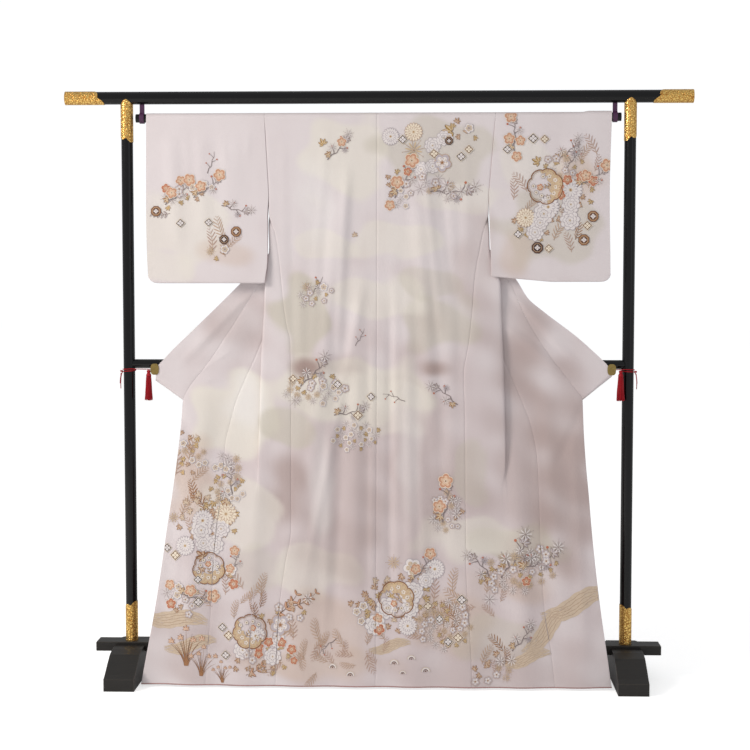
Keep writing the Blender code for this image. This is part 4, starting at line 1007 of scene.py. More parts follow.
def aged_brass():
    """Brass clip, dulled olive by handling, with brighter rubbed spots and fine scratches."""
    material, tree, shader, place = new_material("aged_brass")
    rub = add(tree, "TexNoise", {"Vector": place, "Scale": 1 / 0.006, "Detail": 3.0, "Roughness": 0.6})
    drawn = add(tree, "Mapping", {"Vector": place, "Scale": (1.0, 1.0, 0.08)})
    scratch = add(tree, "TexNoise", {"Vector": drawn, "Scale": 1 / 0.0008, "Roughness": 0.7})
    feed(tree, shader, {
        "Base Color": add(tree, "Mix", {FACTOR: rub, FIRST: "#7C6A3C", SECOND: "#B79E62"}, MIXED, **BLEND),
        "Roughness": add(tree, "MapRange", {"Value": scratch, "To Min": 0.26, "To Max": 0.5}),
        "Normal": add(tree, "Bump", {"Height": scratch, "Distance": 0.0001, "Strength": 0.3}),
        "Metallic": 1.0,
    })
    return material


def red_silk():
    """Filament silk dyed scarlet, laid in fine parallel threads: bright along the threads, with painted
    shade in deep red between them."""
    material, tree, shader, place = new_material("red_silk")
    drawn = add(tree, "Mapping", {"Vector": place, "Scale": (1.0, 1.0, 0.15)})
    threads = add(tree, "TexNoise", {"Vector": drawn, "Scale": 1 / 0.0007, "Roughness": 0.6})
    # Painted shade: deep red between the threads, the dyed scarlet along them
    colour = {FACTOR: threads, FIRST: "#7A0614", SECOND: bpy.context.scene.kimono_trim.red}
    feed(tree, shader, {
        "Base Color": add(tree, "Mix", colour, MIXED, **BLEND),
        "Roughness": 0.45,
        "Normal": add(tree, "Bump", {"Height": threads, "Distance": 0.0003, "Strength": 0.5}),
        "Sheen Weight": 0.08,
        "Sheen Roughness": 0.3,
        "Specular IOR Level": 0.25,
        "IOR": SILK_IOR,
    })
    return material


MADE = {}


def shared(maker):
    """The material that this function makes, made once."""
    if maker not in MADE:
        MADE[maker] = maker().name
    return bpy.data.materials[MADE[maker]]


def silk_pair():
    return [shared(silk_crepe), shared(silk_lining)]


class KIMONO_OT_backs(bpy.types.Operator):
    """Two back panels, from behind the rod, over it and down to the hem. Depth is back_surface(out,
    height), and the rows over the rod follow half a circle."""

    bl_idname = "kimono.backs"
    bl_label = "Back panels"

    def execute(self, context):
        spacing = context.scene.kimono_cloth.spacing
        angle = np.radians(np.linspace(90, -90, 15))
        below = heights_down(ROD_HEIGHT, spacing)[1:]
        behind = np.linspace(ROD_HEIGHT - BEHIND_ROD, ROD_HEIGHT, 3)[:-1]
        z = np.concatenate([behind, ROD_HEIGHT + OVER_ROD * np.cos(angle), below])
        arc = np.concatenate([np.full(2, OVER_ROD), OVER_ROD * np.sin(angle)])
        for side, word in SIDES:
            share = spread_ends(50)[None, :]
            seam = side_seam(side, z)[:, None] - SEAM_GAP
            out = CENTRE_GAP + (seam - CENTRE_GAP) * share
            tall = np.repeat(z[:, None], share.size, axis=1)
            y = back_surface(out, np.minimum(tall, ROD_HEIGHT), side)
            y[: len(arc)] = arc[:, None]
            y += seam_roll(out) * 0.8 + seam_roll(seam - out) * ease(tall, 1.60, 1.55)
            points = np.stack([side * out, y, tall], -1)
            piece = cloth(f"back_{word}", points, side, silk_pair(), hem=True)
        return {"FINISHED"}


class KIMONO_OT_fronts(bpy.types.Operator):
    """Two front panels, each at front_surface(s, height): out from the side seam to a fold, back in
    behind it, and out again to the overlap's seam."""

    bl_idname = "kimono.fronts"
    bl_label = "Front panels"

    def execute(self, context):
        z = heights_down(ROD_HEIGHT - BEHIND_ROD - GAP, context.scene.kimono_cloth.spacing)[:, None]
        legs = [k + (1 - np.cos(np.pi * np.linspace(0, 1, n))) / 2 for k, n in enumerate((13, 30, 15))]
        s = np.unique(np.concatenate(legs))[None, :]
        for side, word in SIDES:
            tall, along = np.broadcast_arrays(z, s)
            out, y = front_surface(side, along, tall)
            y = y + seam_roll((out - out[:, :1])) * (tall < ARMHOLE_LOW) + seam_roll(out - out[:, -1:])
            out = out + SEAM_GAP * (along == 0) - SEAM_GAP * (along == 3)
            piece = cloth(f"front_{word}", np.stack([side * out, y, tall], -1), side, silk_pair(), hem=True)
        return {"FINISHED"}


class KIMONO_OT_overlaps(bpy.types.Operator):
    """Two narrow front overlaps, each at overlap_surface(share, height)."""

    bl_idname = "kimono.overlaps"
    bl_label = "Front overlaps"

    def execute(self, context):
        z = heights_down(ARMHOLE_LOW, context.scene.kimono_cloth.spacing)[:, None]
        for side, word in SIDES:
            tall, share = np.broadcast_arrays(z, spread_ends(26)[None, :])
            out, y = overlap_surface(side, share, tall)
            y = y + seam_roll(out - out[:, :1]) + 0.5 * seam_roll(out[:, -1:] - out)
            piece = cloth(f"okumi_{word}", np.stack([side * out, y, tall], -1), side, silk_pair(), hem=True)
        return {"FINISHED"}


class KIMONO_OT_collars(bpy.types.Operator):
    """The collar in two halves, of silk on both sides. Each row runs straight from the seam to the
    free edge, stands out behind at the neck, and turns flat and outward on the way down."""

    bl_idname = "kimono.collars"
    bl_label = "Collar"

    def execute(self, context):
        neck = np.array(NECK)
        steps = np.linspace(0, len(NECK) - 1, 70)
        rows = [tuple([k]) + tuple(row) for k, row in enumerate(neck.tolist())]
        neck_out, neck_height, turn = (follow(rows, steps, column) for column in (1, 2, 3))
        turn = np.radians(turn)
        for side, word in SIDES:
            low = LAPEL[side][-1][0]
            z = np.linspace(ARMHOLE_LOW, low, 96)
            stand = np.append(COLLAR_WIDTH * np.cos(turn), 0 * z)[:, None]
            seam_out = np.append(neck_out, body_line(side, "edge", z) + GAP)[:, None]
            seam_height = np.append(neck_height, z)[:, None]
            edge_out = np.append(neck_out + COLLAR_WIDTH * np.sin(turn), follow(LAPEL[side], z, 1))[:, None]
            fallen = neck_height - COLLAR_DROP * np.cos(turn)
            edge_height = np.append(fallen, follow(LAPEL[side], z, 2))[:, None]
            share = spread_ends(12)[None, :]
            out = seam_out + (edge_out - seam_out) * share
            tall = seam_height + (edge_height - seam_height) * share
            start = edge_depth(tall) - COLLAR_INSET * stand / COLLAR_WIDTH
            lift = COLLAR_LIFT * share * ease(tall, 1.20, 1.35)
            roll = 0.5 * seam_roll((edge_out - seam_out) * share)
            y = start + stand * share + lift + roll + drape(side * out, tall)
            silk = shared(silk_crepe)
            points = np.stack([side * out, y, tall], -1)
            piece = cloth(f"collar_{word}", points, side, [silk, silk], wall=0.0019)
        return {"FINISHED"}


class KIMONO_OT_sleeves(bpy.types.Operator):
    """Two sleeves, each a flat tube: its ring goes up the far layer, over the rod, down the near
    layer and round the bottom fold. Towards the cuff both layers close, as it is sewn there."""

    bl_idname = "kimono.sleeves"
    bl_label = "Sleeves"

    def execute(self, context):
        share = np.unique(np.concatenate([spread_ends(46), 1 - 0.06 * np.linspace(0, 1, 9) ** 2]))
        up = np.linspace(0, 1, 62)[:-1]
        arc = np.radians(np.linspace(90, -90, 15))
        fold = np.radians([-75, -50, -25, 0, 25, 50, 75])
        for side, word in SIDES:
            lowest = dict(zip(SLEEVE_COLUMNS, SLEEVE[side][-1]))
            fold_out = lowest["inner"] + (lowest["outer"] - lowest["inner"]) * share
            corner = np.clip(1 - (lowest["outer"] - fold_out) / SLEEVE_CORNER, 0, 1)
            inner_low, outer_low = SLEEVE_BOTTOM[side]
            low = inner_low + (outer_low - inner_low) * np.minimum(share * 2, 1)
            low = (low + SLEEVE_CORNER * (1 - np.sqrt(1 - (corner * 0.999) ** 2)))[None, :]
            radius = sleeve_line(side, "depth", low) / 2
            climb = low + radius + (ROD_HEIGHT - low - radius) * up[:, None]
            near = back_depth(climb) - sleeve_line(side, "swing", climb)
            far = near + sleeve_line(side, "depth", climb)
            far = np.where(climb >= ARMHOLE_LOW, front_depth(climb), far)
            sewn = ease(share, 0.90, 1.0) * ease(climb, 1.37, 1.33)
            far = far + (near + 0.0016 - far) * sewn
            radius = (far[:1] - near[:1]) / 2
            centre = (far[:1] + near[:1]) / 2
            rod = np.stack([OVER_ROD * np.sin(arc), ROD_HEIGHT + OVER_ROD * np.cos(arc)], -1)
            over_y = np.repeat(rod[:, :1], share.size, axis=1)
            over_z = np.repeat(rod[:, 1:], share.size, axis=1)
            bottom_y = centre + radius * np.sin(fold)[:, None]
            bottom_z = climb[:1] - radius * np.cos(fold)[:, None]
            y = np.concatenate([far, over_y, near[::-1], bottom_y])
            z = np.concatenate([climb, over_z, climb[::-1], bottom_z])
            inner = sleeve_seam(side, z) + SEAM_GAP
            out = inner + (sleeve_line(side, "outer", z) - inner) * share
            if side == RIGHT:
                lift = RIGHT_SHOULDER_LIFT * ease(out, RIGHT_SHOULDER_OUT, RIGHT_SHOULDER_OUT + 0.02)
                z = z + lift * ease(z, ROD_HEIGHT, ROD_HEIGHT + OVER_ROD)
            y = y - sleeve_ridges(side, out, z, share)
            piece = cloth(f"sleeve_{word}", np.stack([side * out, y, z], -1), side, silk_pair(), wrap=True)
        return {"FINISHED"}


# Painted flowers. A shape is (paint, level, outline), its outline in complex metres: x + i z.

def disc(radius, corners=12):
    return radius * np.exp(2j * np.pi * np.arange(corners) / corners)


def petal(length, width, fullness=0.3, corners=9):
    """An oval from 0 to length, fuller towards its far end."""
    t = 2 * np.pi * np.arange(corners) / corners
    along = 0.5 - 0.5 * np.cos(t)
    return length * along + 1j * width / 2 * np.sin(t) * (1 - fullness + 2 * fullness * along)


def turned(shapes, place=0.0, angle=0.0, size=1.0):
    """The shapes scaled, turned by an angle in degrees and moved."""
    factor = size * np.exp(1j * math.radians(angle))
    return [(tint, level, outline * factor + place) for tint, level, outline in shapes]


def split(outline, parts):
    """The outline with each of its sides cut into equal parts."""
    steps = np.arange(parts) / parts
    return (outline[:, None] + (np.roll(outline, -1) - outline)[:, None] * steps).ravel()


def stroke(path, width, tint, level=0, parts=1):
    """A line as one quad for each step, its width given at each point. Each step may be cut in
    parts, so that a long one follows the cloth."""
    fine = np.linspace(0, len(path) - 1, (len(path) - 1) * parts + 1)
    path, width = (np.interp(fine, np.arange(len(path)), np.asarray(row)) for row in (path, width))
    along = np.gradient(path)
    across = 1j * along / np.abs(along) * width / 2
    low, high = path - across, path + across
    quads = np.stack([low[:-1], low[1:], high[1:], high[:-1]], axis=1)
    return [(tint, level, quad) for quad in quads]


def around(shapes, count, start=90.0):
    """Copies of the shapes turned about 0 by equal angles."""
    return [shape for k in range(count) for shape in turned(shapes, angle=start + 360 * k / count)]


def plum(fill="apricot", inner="peach", rim="cream"):
    """Five round petals with a pale rim, thin stamens and a small eye. One unit across its radius."""
    rims = around([(rim, 0, 0.55 + disc(0.46, 10))], 5)
    fills = around([(fill, 1, 0.55 + disc(0.39, 10))], 5)
    lights = around([(inner, 2, 0.42 + disc(0.25, 9))], 5)
    stamen = stroke([0.10, 0.42], [0.03, 0.025], rim, 3) + [("gold", 3, 0.46 + disc(0.045, 5))]
    return rims + fills + lights + around(stamen, 10, 72) + [("bronze", 4, disc(0.10, 8))]


def peony(fill="white", edge="lilac", dots="mauve_grey"):
    """Three rings of round lobes, each ring smaller and turned, with fine dots and a pale eye."""
    shapes = []
    for ring, (count, reach, radius) in enumerate(((9, 0.72, 0.30), (7, 0.46, 0.27), (5, 0.22, 0.22))):
        lobe = [(edge, 2 * ring, reach + disc(radius))]
        lobe.append((fill, 2 * ring + 1, reach - 0.02 + disc(radius * 0.85)))
        shapes += around(lobe, count, 90 + 20 * ring)
    shapes += around([(dots, 6, 0.34 + disc(0.032, 5)), (dots, 6, 0.68 + disc(0.028, 5))], 9, 70)
    return shapes + [("straw", 6, disc(0.10, 8)), (dots, 7, disc(0.045, 6))]


def aster(fill="white", edge="lilac", count=20):
    """Two rings of narrow petals, each with a tinted edge, around a gold eye."""
    outer = around([(edge, 0, 0.16 + petal(0.84, 0.31)), (fill, 1, 0.18 + petal(0.77, 0.21))], count)
    short = [(edge, 2, 0.08 + petal(0.56, 0.25)), (fill, 3, 0.10 + petal(0.49, 0.17))]
    inner = around(short, count // 2 + 2, 84)
    return outer + inner + [("straw", 4, disc(0.14, 10)), ("bronze", 5, disc(0.06, 7))]


def star(tint="mauve_grey", pale="white"):
    """A spiky flower: thin tapered rays with a dot at each tip, short pale petals and an eye."""
    ray = stroke([0.12, 0.6, 0.9], [0.02, 0.04, 0.012], tint, 1) + [(tint, 1, 0.94 + disc(0.04, 5))]
    rays = around(ray, 8)
    return around([(pale, 0, 0.10 + petal(0.62, 0.12))], 8, 67.5) + rays + [(tint, 2, disc(0.09, 8))]


def leaf(fill="bronze", light="tan", vein="cream"):
    """A pointed leaf of unit length, lighter along one half, with a pale midrib."""
    outline = petal(1.0, 0.42, -0.12, 10)
    half = np.where(outline.imag > 0, outline, outline.real)
    return [("brown", 0, 0.5 + (outline - 0.5) * 1.12), (fill, 1, outline), (light, 2, half)] + stroke(
        [0.06, 0.9], [0.05, 0.02], vein, 3, 2
    )


def leaves(fill="bronze", light="tan"):
    """Five leaves from one place, the middle one longest."""
    shapes = []
    for lean, size in ((-78, 0.62), (-38, 0.84), (0, 1.0), (38, 0.84), (78, 0.62)):
        shapes += turned(leaf(fill, light), 0.10 * np.exp(1j * math.radians(lean)), lean, size)
    return shapes


def spray(fill="bronze", light="apricot", pairs=4, bend=35.0):
    """A thin curved stem with pairs of small leaves, smaller towards its tip, about one unit long."""
    t = np.linspace(0, 1, 9)
    path = np.cumsum(np.exp(1j * np.radians(bend * t))) / 9
    shapes = stroke(path, 0.018 * (1 - 0.6 * t), "brown", 0)
    for k in range(pairs):
        share = (k + 0.9) / pairs
        at = np.interp(share, t, path)
        for lean in (50, -58):
            shapes += turned(leaf(fill, light), at, bend * share + lean, 0.21 * (1 - 0.4 * share))
    return shapes


def fern(fill="tan", stem="bronze_pale", pairs=7, bend=-35.0):
    """A fine frond: slender leaflets in pairs like arrow heads, well apart, on a curved stem."""
    t = np.linspace(0, 1, 12)
    path = np.cumsum(np.exp(1j * np.radians(bend * t))) / 12
    shapes = stroke(path, 0.022 * (1.1 - t), stem, 0)
    for k in range(pairs):
        share = (k + 0.5) / pairs
        at = np.interp(share, t, path)
        size = 0.30 * math.sin(math.pi * (share * 0.75 + 0.22)) ** 0.8
        for lean in (40, -40):
            shapes += turned([(fill, 1, petal(1.0, 0.13, 0.0, 6))], at, bend * share + lean, size)
    return shapes


def diamond(dark="ink", pale="white"):
    """A flower in a square set on its corner: a pale edge, a dark frame, and four pale petals that
    dark wedges part."""
    square = split(np.array([1.0, 0.95j, -1.0, -0.95j]), 4)
    frame = [("cream", 0, square * 1.14), (dark, 1, square), (pale, 2, square * 0.80)]
    wedges = around([(dark, 3, 0.16 + 0.42 * np.array([0, 1 + 0.22j, 1 - 0.22j]))], 4, 45)
    corners = around([(dark, 3, 0.62 + disc(0.055, 5))], 4, 0)
    return frame + wedges + corners + [(dark, 4, disc(0.09, 6))]


def roundel(fill="bronze", dark="brown"):
    """An eight-sided coin: a dark rim, a bronze band, and a bright flower square at its centre."""
    octagon = split(disc(1.0, 8) * np.exp(1j * math.pi / 8), 2)
    rings = [(dark, 0, octagon), (fill, 1, octagon * 0.88)]
    rings += [("straw", 2, octagon * 0.72), (dark, 3, octagon * 0.66)]
    flower = diamond("brown", "white")[2:]
    return rings + [(tint, level + 4, outline * 0.62) for tint, level, outline in flower]


def snow_ring(fill="straw", line="bronze"):
    """A ring with soft lobes, as of melting snow: its rim brown, one side filled with a deeper tone
    and fine blossoms over it."""
    t = np.linspace(0, 2 * np.pi, 85)
    lobes = (0.88 + 0.12 * np.abs(np.sin(3.5 * t)) ** 0.55) * np.exp(1j * t)
    shapes = []
    for low, high, first, last in ((0.60, 0.80, 34, 70), (0.80, 0.98, 30, 74), (0.35, 0.60, 38, 66)):
        shapes += [
            (fill if (k + int(low * 10)) % 5 else "tan", 0,
             np.array([lobes[k] * low, lobes[k + 1] * low, lobes[k + 1] * high, lobes[k] * high]))
            for k in range(first, last)
        ]
    shapes += stroke(lobes, 0.060 + 0 * t, "brown", 1) + stroke(lobes * 0.985, 0.034 + 0 * t, line, 2)
    shapes += stroke(lobes[::2] * 0.90, 0.012 + 0 * t[::2], "gold", 2)
    for k in range(9):
        place = (0.66 - 0.05 * (k % 3)) * np.exp(1j * (0.5 + 0.62 * k))
        shapes += turned(plum("white", "cream", "brown"), place, 31 * k, 0.13)
    shapes += turned(plum("coral", "peach", "cream"), 0.22 + 0.18j, 50, 0.20)
    return shapes + turned(spray("bronze", "straw", 4), -0.45 - 0.30j, 25, 0.9)


def grass(tint="bronze", blades=15):
    """Blades that rise from one root and bow outwards, some of them with a bright head."""
    shapes = []
    t = np.linspace(0, 1, 8)
    for k in range(blades):
        lean = (k / (blades - 1) - 0.5) * 1.5 + 0.06 * math.sin(5 * k)
        tall = 1 - 0.30 * abs(lean) + 0.12 * math.sin(3 * k)
        path = lean * 0.62 * t**1.6 + 0.008 * (k - blades / 2) + 1j * tall * (t - 0.22 * abs(lean) * t**3)
        shapes += stroke(path, 0.030 * (1.08 - t) * (0.35 + t) ** 0.5, tint if k % 3 else "brown", k % 3)
        if k % 3 == 1:
            shapes += turned(leaves("apricot", "peach"), path[-1], 90, 0.15)
    return shapes


def stream(tint="straw", lines=11):
    """A soft band of fine wavy lines side by side, as of running water, that draw together at both
    ends."""
    t = np.linspace(-1, 1, 33)
    shapes = []
    for k in range(lines):
        share = (k - (lines - 1) / 2) / lines
        height = share * 0.46 * np.cos(t * 1.2) + 0.10 * np.sin(t * 3.0) + 0.012 * np.sin(t * 17 + 2 * k)
        wide = k % 2 == 0
        width = (0.090 if wide else 0.012) * (1.08 - t**2)
        path = t * (1 - 0.12 * (k % 2)) + 1j * height
        shapes += stroke(path, width, tint if wide else "bronze_pale", 1 - wide)
    return shapes


def wave(tint="white", line="straw"):
    """One small crest of nested half rings."""
    t = np.radians(np.linspace(0, 180, 11))
    arc = np.exp(1j * t)
    return stroke(arc * 0.86, 0.44 + 0 * t, tint, 0) + stroke(arc, 0.09 + 0 * t, line, 1) + stroke(
        arc * 0.52, 0.12 + 0 * t, "brown", 1) + [("brown", 1, 0.10j + disc(0.16, 8))]


def twig(tint="slate", bud="coral"):
    """A crooked twig with side shoots and buds."""
    main = np.array([0, 0.22 + 0.10j, 0.40 + 0.08j, 0.62 + 0.24j, 0.80 + 0.26j, 1.0 + 0.42j])
    shapes = stroke(main, np.linspace(0.036, 0.012, 6), tint, 0, 4)
    for at, angle in ((0.30 + 0.09j, 75), (0.55 + 0.19j, -30), (0.75 + 0.25j, 80)):
        shapes += turned(stroke([0, 0.14, 0.25 + 0.03j], [0.026, 0.02, 0.01], tint, 0, 2), at, angle)
        end = at + (0.27 + 0.03j) * np.exp(1j * math.radians(angle))
        shapes.append((bud, 1, end + disc(0.034, 8)))
    return shapes


def bough(flower, second, tint="slate"):
    """A twig that carries three flowers, with small leaves between them."""
    shapes = twig(tint)
    blooms = ((flower, 0.34 + 0.30j, 0.20), (second, 0.70 + 0.06j, 0.16), (flower, 1.04 + 0.50j, 0.22))
    for k, (bloom, place, size) in enumerate(blooms):
        raised = [(paint_name, level + 4, outline) for paint_name, level, outline in bloom]
        shapes += turned(raised, place, 40 * k, size)
    return shapes + turned(leaves("mauve_grey", "lilac"), 0.86 + 0.36j, 10, 0.20) + turned(
        leaves("bronze", "straw"), 0.16 + 0.12j, 150, 0.18)


MOTIFS = {  # layer above the cloth, shapes
    "stream": (0, stream("sand")),
    "fern": (1, fern()),
    "fern_rose": (1, fern("rose", "tan", 6, 30.0)),
    "fern_brown": (1, fern("bronze", "brown", 7, 35.0)),
    "grass": (2, grass()),
    "spray": (2, spray()),
    "spray_grey": (2, spray("mauve_grey", "lilac", 5, -30.0)),
    "leaves": (2, leaves()),
    "leaves_gold": (2, leaves("straw", "gold")),
    "leaves_tan": (2, leaves("tan", "sand")),
    "twig": (2, twig()),
    "star": (3, turned(star(), size=1.35)),
    "star_brown": (3, turned(star("bronze_pale", "straw"), size=1.35)),
    "peony": (3, peony()),
    "aster": (3, aster()),
    "aster_cream": (3, aster("cream", "tan", 18)),
    "plum_white": (4, plum("white", "sand", "lilac")),
    "plum_grey": (4, plum("lilac", "white", "tan")),
    "plum": (4, plum()),
    "plum_coral": (4, plum("coral", "apricot", "cream")),
    "bough": (4, bough(plum(), star())),
    "bough_grey": (3, bough(star(), star("slate", "lilac"))),
    "snow_ring": (5, snow_ring()),
    "wave": (5, wave()),
    "diamond": (6, diamond()),
    "diamond_brown": (6, diamond("brown", "cream")),
    "roundel": (6, roundel()),
    "roundel_dark": (6, roundel("brown", "ink")),
}
METAL = ("gold",)

# Single flowers: motif, x, z, size (its radius or length), turn in degrees
PAINTING = (
    # left sleeve
    ("bough", -0.600, 1.352, 0.085, 20),
    ("bough", -0.520, 1.372, 0.085, 15),
    ("bough_grey", -0.440, 1.350, 0.075, -35),
    ("plum_coral", -0.598, 1.398, 0.014, 0),
    ("plum", -0.556, 1.420, 0.015, 30),
    ("spray_grey", -0.580, 1.330, 0.060, 200),
    ("twig", -0.480, 1.440, 0.060, 50),
    ("roundel", -0.626, 1.334, 0.0155, 0),
    ("diamond", -0.556, 1.300, 0.0125, 3),
    ("roundel", -0.398, 1.276, 0.0155, 0),
    ("roundel_dark", -0.432, 1.254, 0.0140, 0),
    ("diamond", -0.476, 1.302, 0.0120, -4),
    # left back, upper and middle
    ("bough_grey", -0.140, 1.478, 0.080, 25),
    ("plum", -0.100, 1.528, 0.014, 0),
    ("leaves_gold", -0.150, 1.520, 0.018, 120),
    ("twig", -0.205, 1.080, 0.080, 30),
    ("plum_white", -0.150, 1.120, 0.013, 0),
    ("star_brown", -0.198, 1.120, 0.014, 0),
    ("bough_grey", -0.215, 0.840, 0.095, 25),
    ("bough_grey", -0.120, 0.760, 0.080, -10),
    ("star", -0.230, 0.800, 0.015, 0),
    ("diamond_brown", -0.236, 0.862, 0.0125, 0),
    ("diamond", -0.110, 0.846, 0.0130, 4),
    ("diamond_brown", -0.052, 0.760, 0.0140, 0),
    ("diamond", -0.016, 0.812, 0.0125, 0),
    ("leaves_tan", -0.062, 1.262, 0.012, 100),
    ("twig", -0.060, 0.955, 0.050, 40),
    # right back, upper
    ("bough", 0.050, 1.370, 0.100, 40),
    ("plum", 0.052, 1.418, 0.0155, 10),
    ("plum", 0.036, 1.350, 0.0160, 33),
    ("plum_coral", 0.086, 1.444, 0.0130, 55),
    ("bough_grey", 0.150, 1.388, 0.110, -20),
    ("star", 0.206, 1.388, 0.016, 0),
    ("star", 0.122, 1.396, 0.015, 20),
    ("diamond", 0.072, 1.534, 0.0130, 0),
    ("diamond_brown", 0.160, 1.494, 0.0135, 5),
    ("diamond", 0.236, 1.486, 0.0135, -4),
    ("diamond_brown", 0.258, 1.506, 0.0125, 0),
    ("roundel_dark", 0.202, 1.530, 0.0120, 0),
    ("bough_grey", 0.228, 0.790, 0.080, 120),
    ("twig", 0.080, 0.800, 0.060, 140),
    ("bough", 0.186, 0.462, 0.100, 60),
    ("plum_coral", 0.186, 0.512, 0.0150, 15),
    ("star", 0.226, 0.486, 0.0150, 0),
    ("star", 0.160, 0.470, 0.0130, 0),
    # lower left
    ("snow_ring", -0.470, 0.330, 0.045, 60),
    ("stream", -0.566, 0.190, 0.095, -6),
    ("stream", -0.520, 0.120, 0.075, 8),
    ("bough", -0.560, 0.262, 0.090, -30),
    ("plum_coral", -0.576, 0.232, 0.0155, 0),
    ("plum", -0.580, 0.284, 0.0155, 40),
    ("grass", -0.530, 0.062, 0.090, 0),
    ("grass", -0.488, 0.034, 0.070, -6),
    ("grass", -0.428, 0.016, 0.050, 4),
    ("diamond", -0.590, 0.386, 0.0125, 0),
    ("diamond_brown", -0.566, 0.366, 0.0145, 0),
    ("diamond", -0.500, 0.300, 0.0120, 0),
    ("diamond", -0.498, 0.238, 0.0140, 0),
    ("star_brown", -0.572, 0.470, 0.0150, 0),
    ("bough_grey", -0.412, 0.500, 0.100, 70),
    ("plum_coral", -0.400, 0.288, 0.0160, 20),
    ("bough", -0.404, 0.300, 0.070, 60),
    # lower middle left
    ("snow_ring", -0.352, 0.158, 0.048, 10),
    ("diamond", -0.430, 0.168, 0.0125, 0),
    ("diamond_brown", -0.412, 0.146, 0.0140, 0),
    ("diamond", -0.420, 0.092, 0.0130, 4),
    ("spray", -0.300, 0.190, 0.110, 25),
    ("spray", -0.245, 0.226, 0.090, 10),
    ("spray", -0.370, 0.036, 0.080, 15),
    ("star", -0.190, 0.250, 0.0150, 0),
    ("twig", -0.110, 0.140, 0.060, 200),
    # lower middle right
    ("snow_ring", 0.058, 0.250, 0.050, 200),
    ("bough", 0.100, 0.300, 0.080, 30),
    ("star_brown", 0.050, 0.350, 0.0180, 0),
    ("diamond_brown", 0.146, 0.232, 0.0135, 4),
    ("diamond", 0.240, 0.250, 0.0145, 0),
    ("diamond", 0.178, 0.196, 0.0120, 0),
    ("diamond_brown", 0.230, 0.146, 0.0145, 0),
    ("diamond", 0.202, 0.134, 0.0130, 5),
    ("plum", 0.006, 0.196, 0.0150, 10),
    ("plum_coral", 0.010, 0.166, 0.0165, 40),
    ("wave", 0.052, 0.072, 0.0120, 0),
    ("wave", 0.100, 0.086, 0.0110, 0),
    ("wave", 0.140, 0.052, 0.0120, 0),
    ("wave", 0.076, 0.046, 0.0090, 0),
    ("wave", -0.070, 0.040, 0.0120, 0),
    ("wave", -0.120, 0.060, 0.0110, 0),
    ("stream", 0.040, 0.120, 0.060, 10),
    # right wing
    ("stream", 0.560, 0.240, 0.105, 18),
    ("stream", 0.478, 0.170, 0.095, 42),
    ("stream", 0.420, 0.090, 0.070, 12),
    ("bough_grey", 0.350, 0.310, 0.120, 35),
    ("bough_grey", 0.400, 0.330, 0.110, 5),
    ("bough_grey", 0.330, 0.300, 0.090, 110),
    ("plum_coral", 0.420, 0.302, 0.0140, 0),
    ("star", 0.470, 0.350, 0.0160, 0),
    ("star", 0.318, 0.250, 0.0160, 0),
    ("bough_grey", 0.380, 0.110, 0.080, 30),
    # right sleeve
    ("snow_ring", 0.472, 1.402, 0.050, 150),
    ("bough", 0.385, 1.500, 0.085, 70),
    ("plum", 0.402, 1.530, 0.0155, 0),
    ("plum", 0.392, 1.486, 0.0160, 30),
    ("diamond", 0.438, 1.536, 0.0145, 0),
    ("diamond_brown", 0.470, 1.534, 0.0125, 0),
    ("diamond", 0.366, 1.506, 0.0130, 0),
    ("roundel", 0.606, 1.318, 0.0165, 0),
    ("diamond_brown", 0.590, 1.292, 0.0135, 0),
    ("roundel", 0.580, 1.252, 0.0165, 0),
    ("roundel_dark", 0.450, 1.230, 0.0170, 0),
    ("diamond_brown", 0.482, 1.228, 0.0125, 0),
    ("diamond", 0.396, 1.268, 0.0130, 4),
    ("twig", 0.532, 1.452, 0.070, 40),
    ("bough_grey", 0.500, 1.470, 0.080, 20),
    ("leaves_gold", 0.456, 1.470, 0.020, 160),
    ("bough", 0.560, 1.400, 0.090, 10),
    ("star", 0.566, 1.502, 0.0130, 0),
)

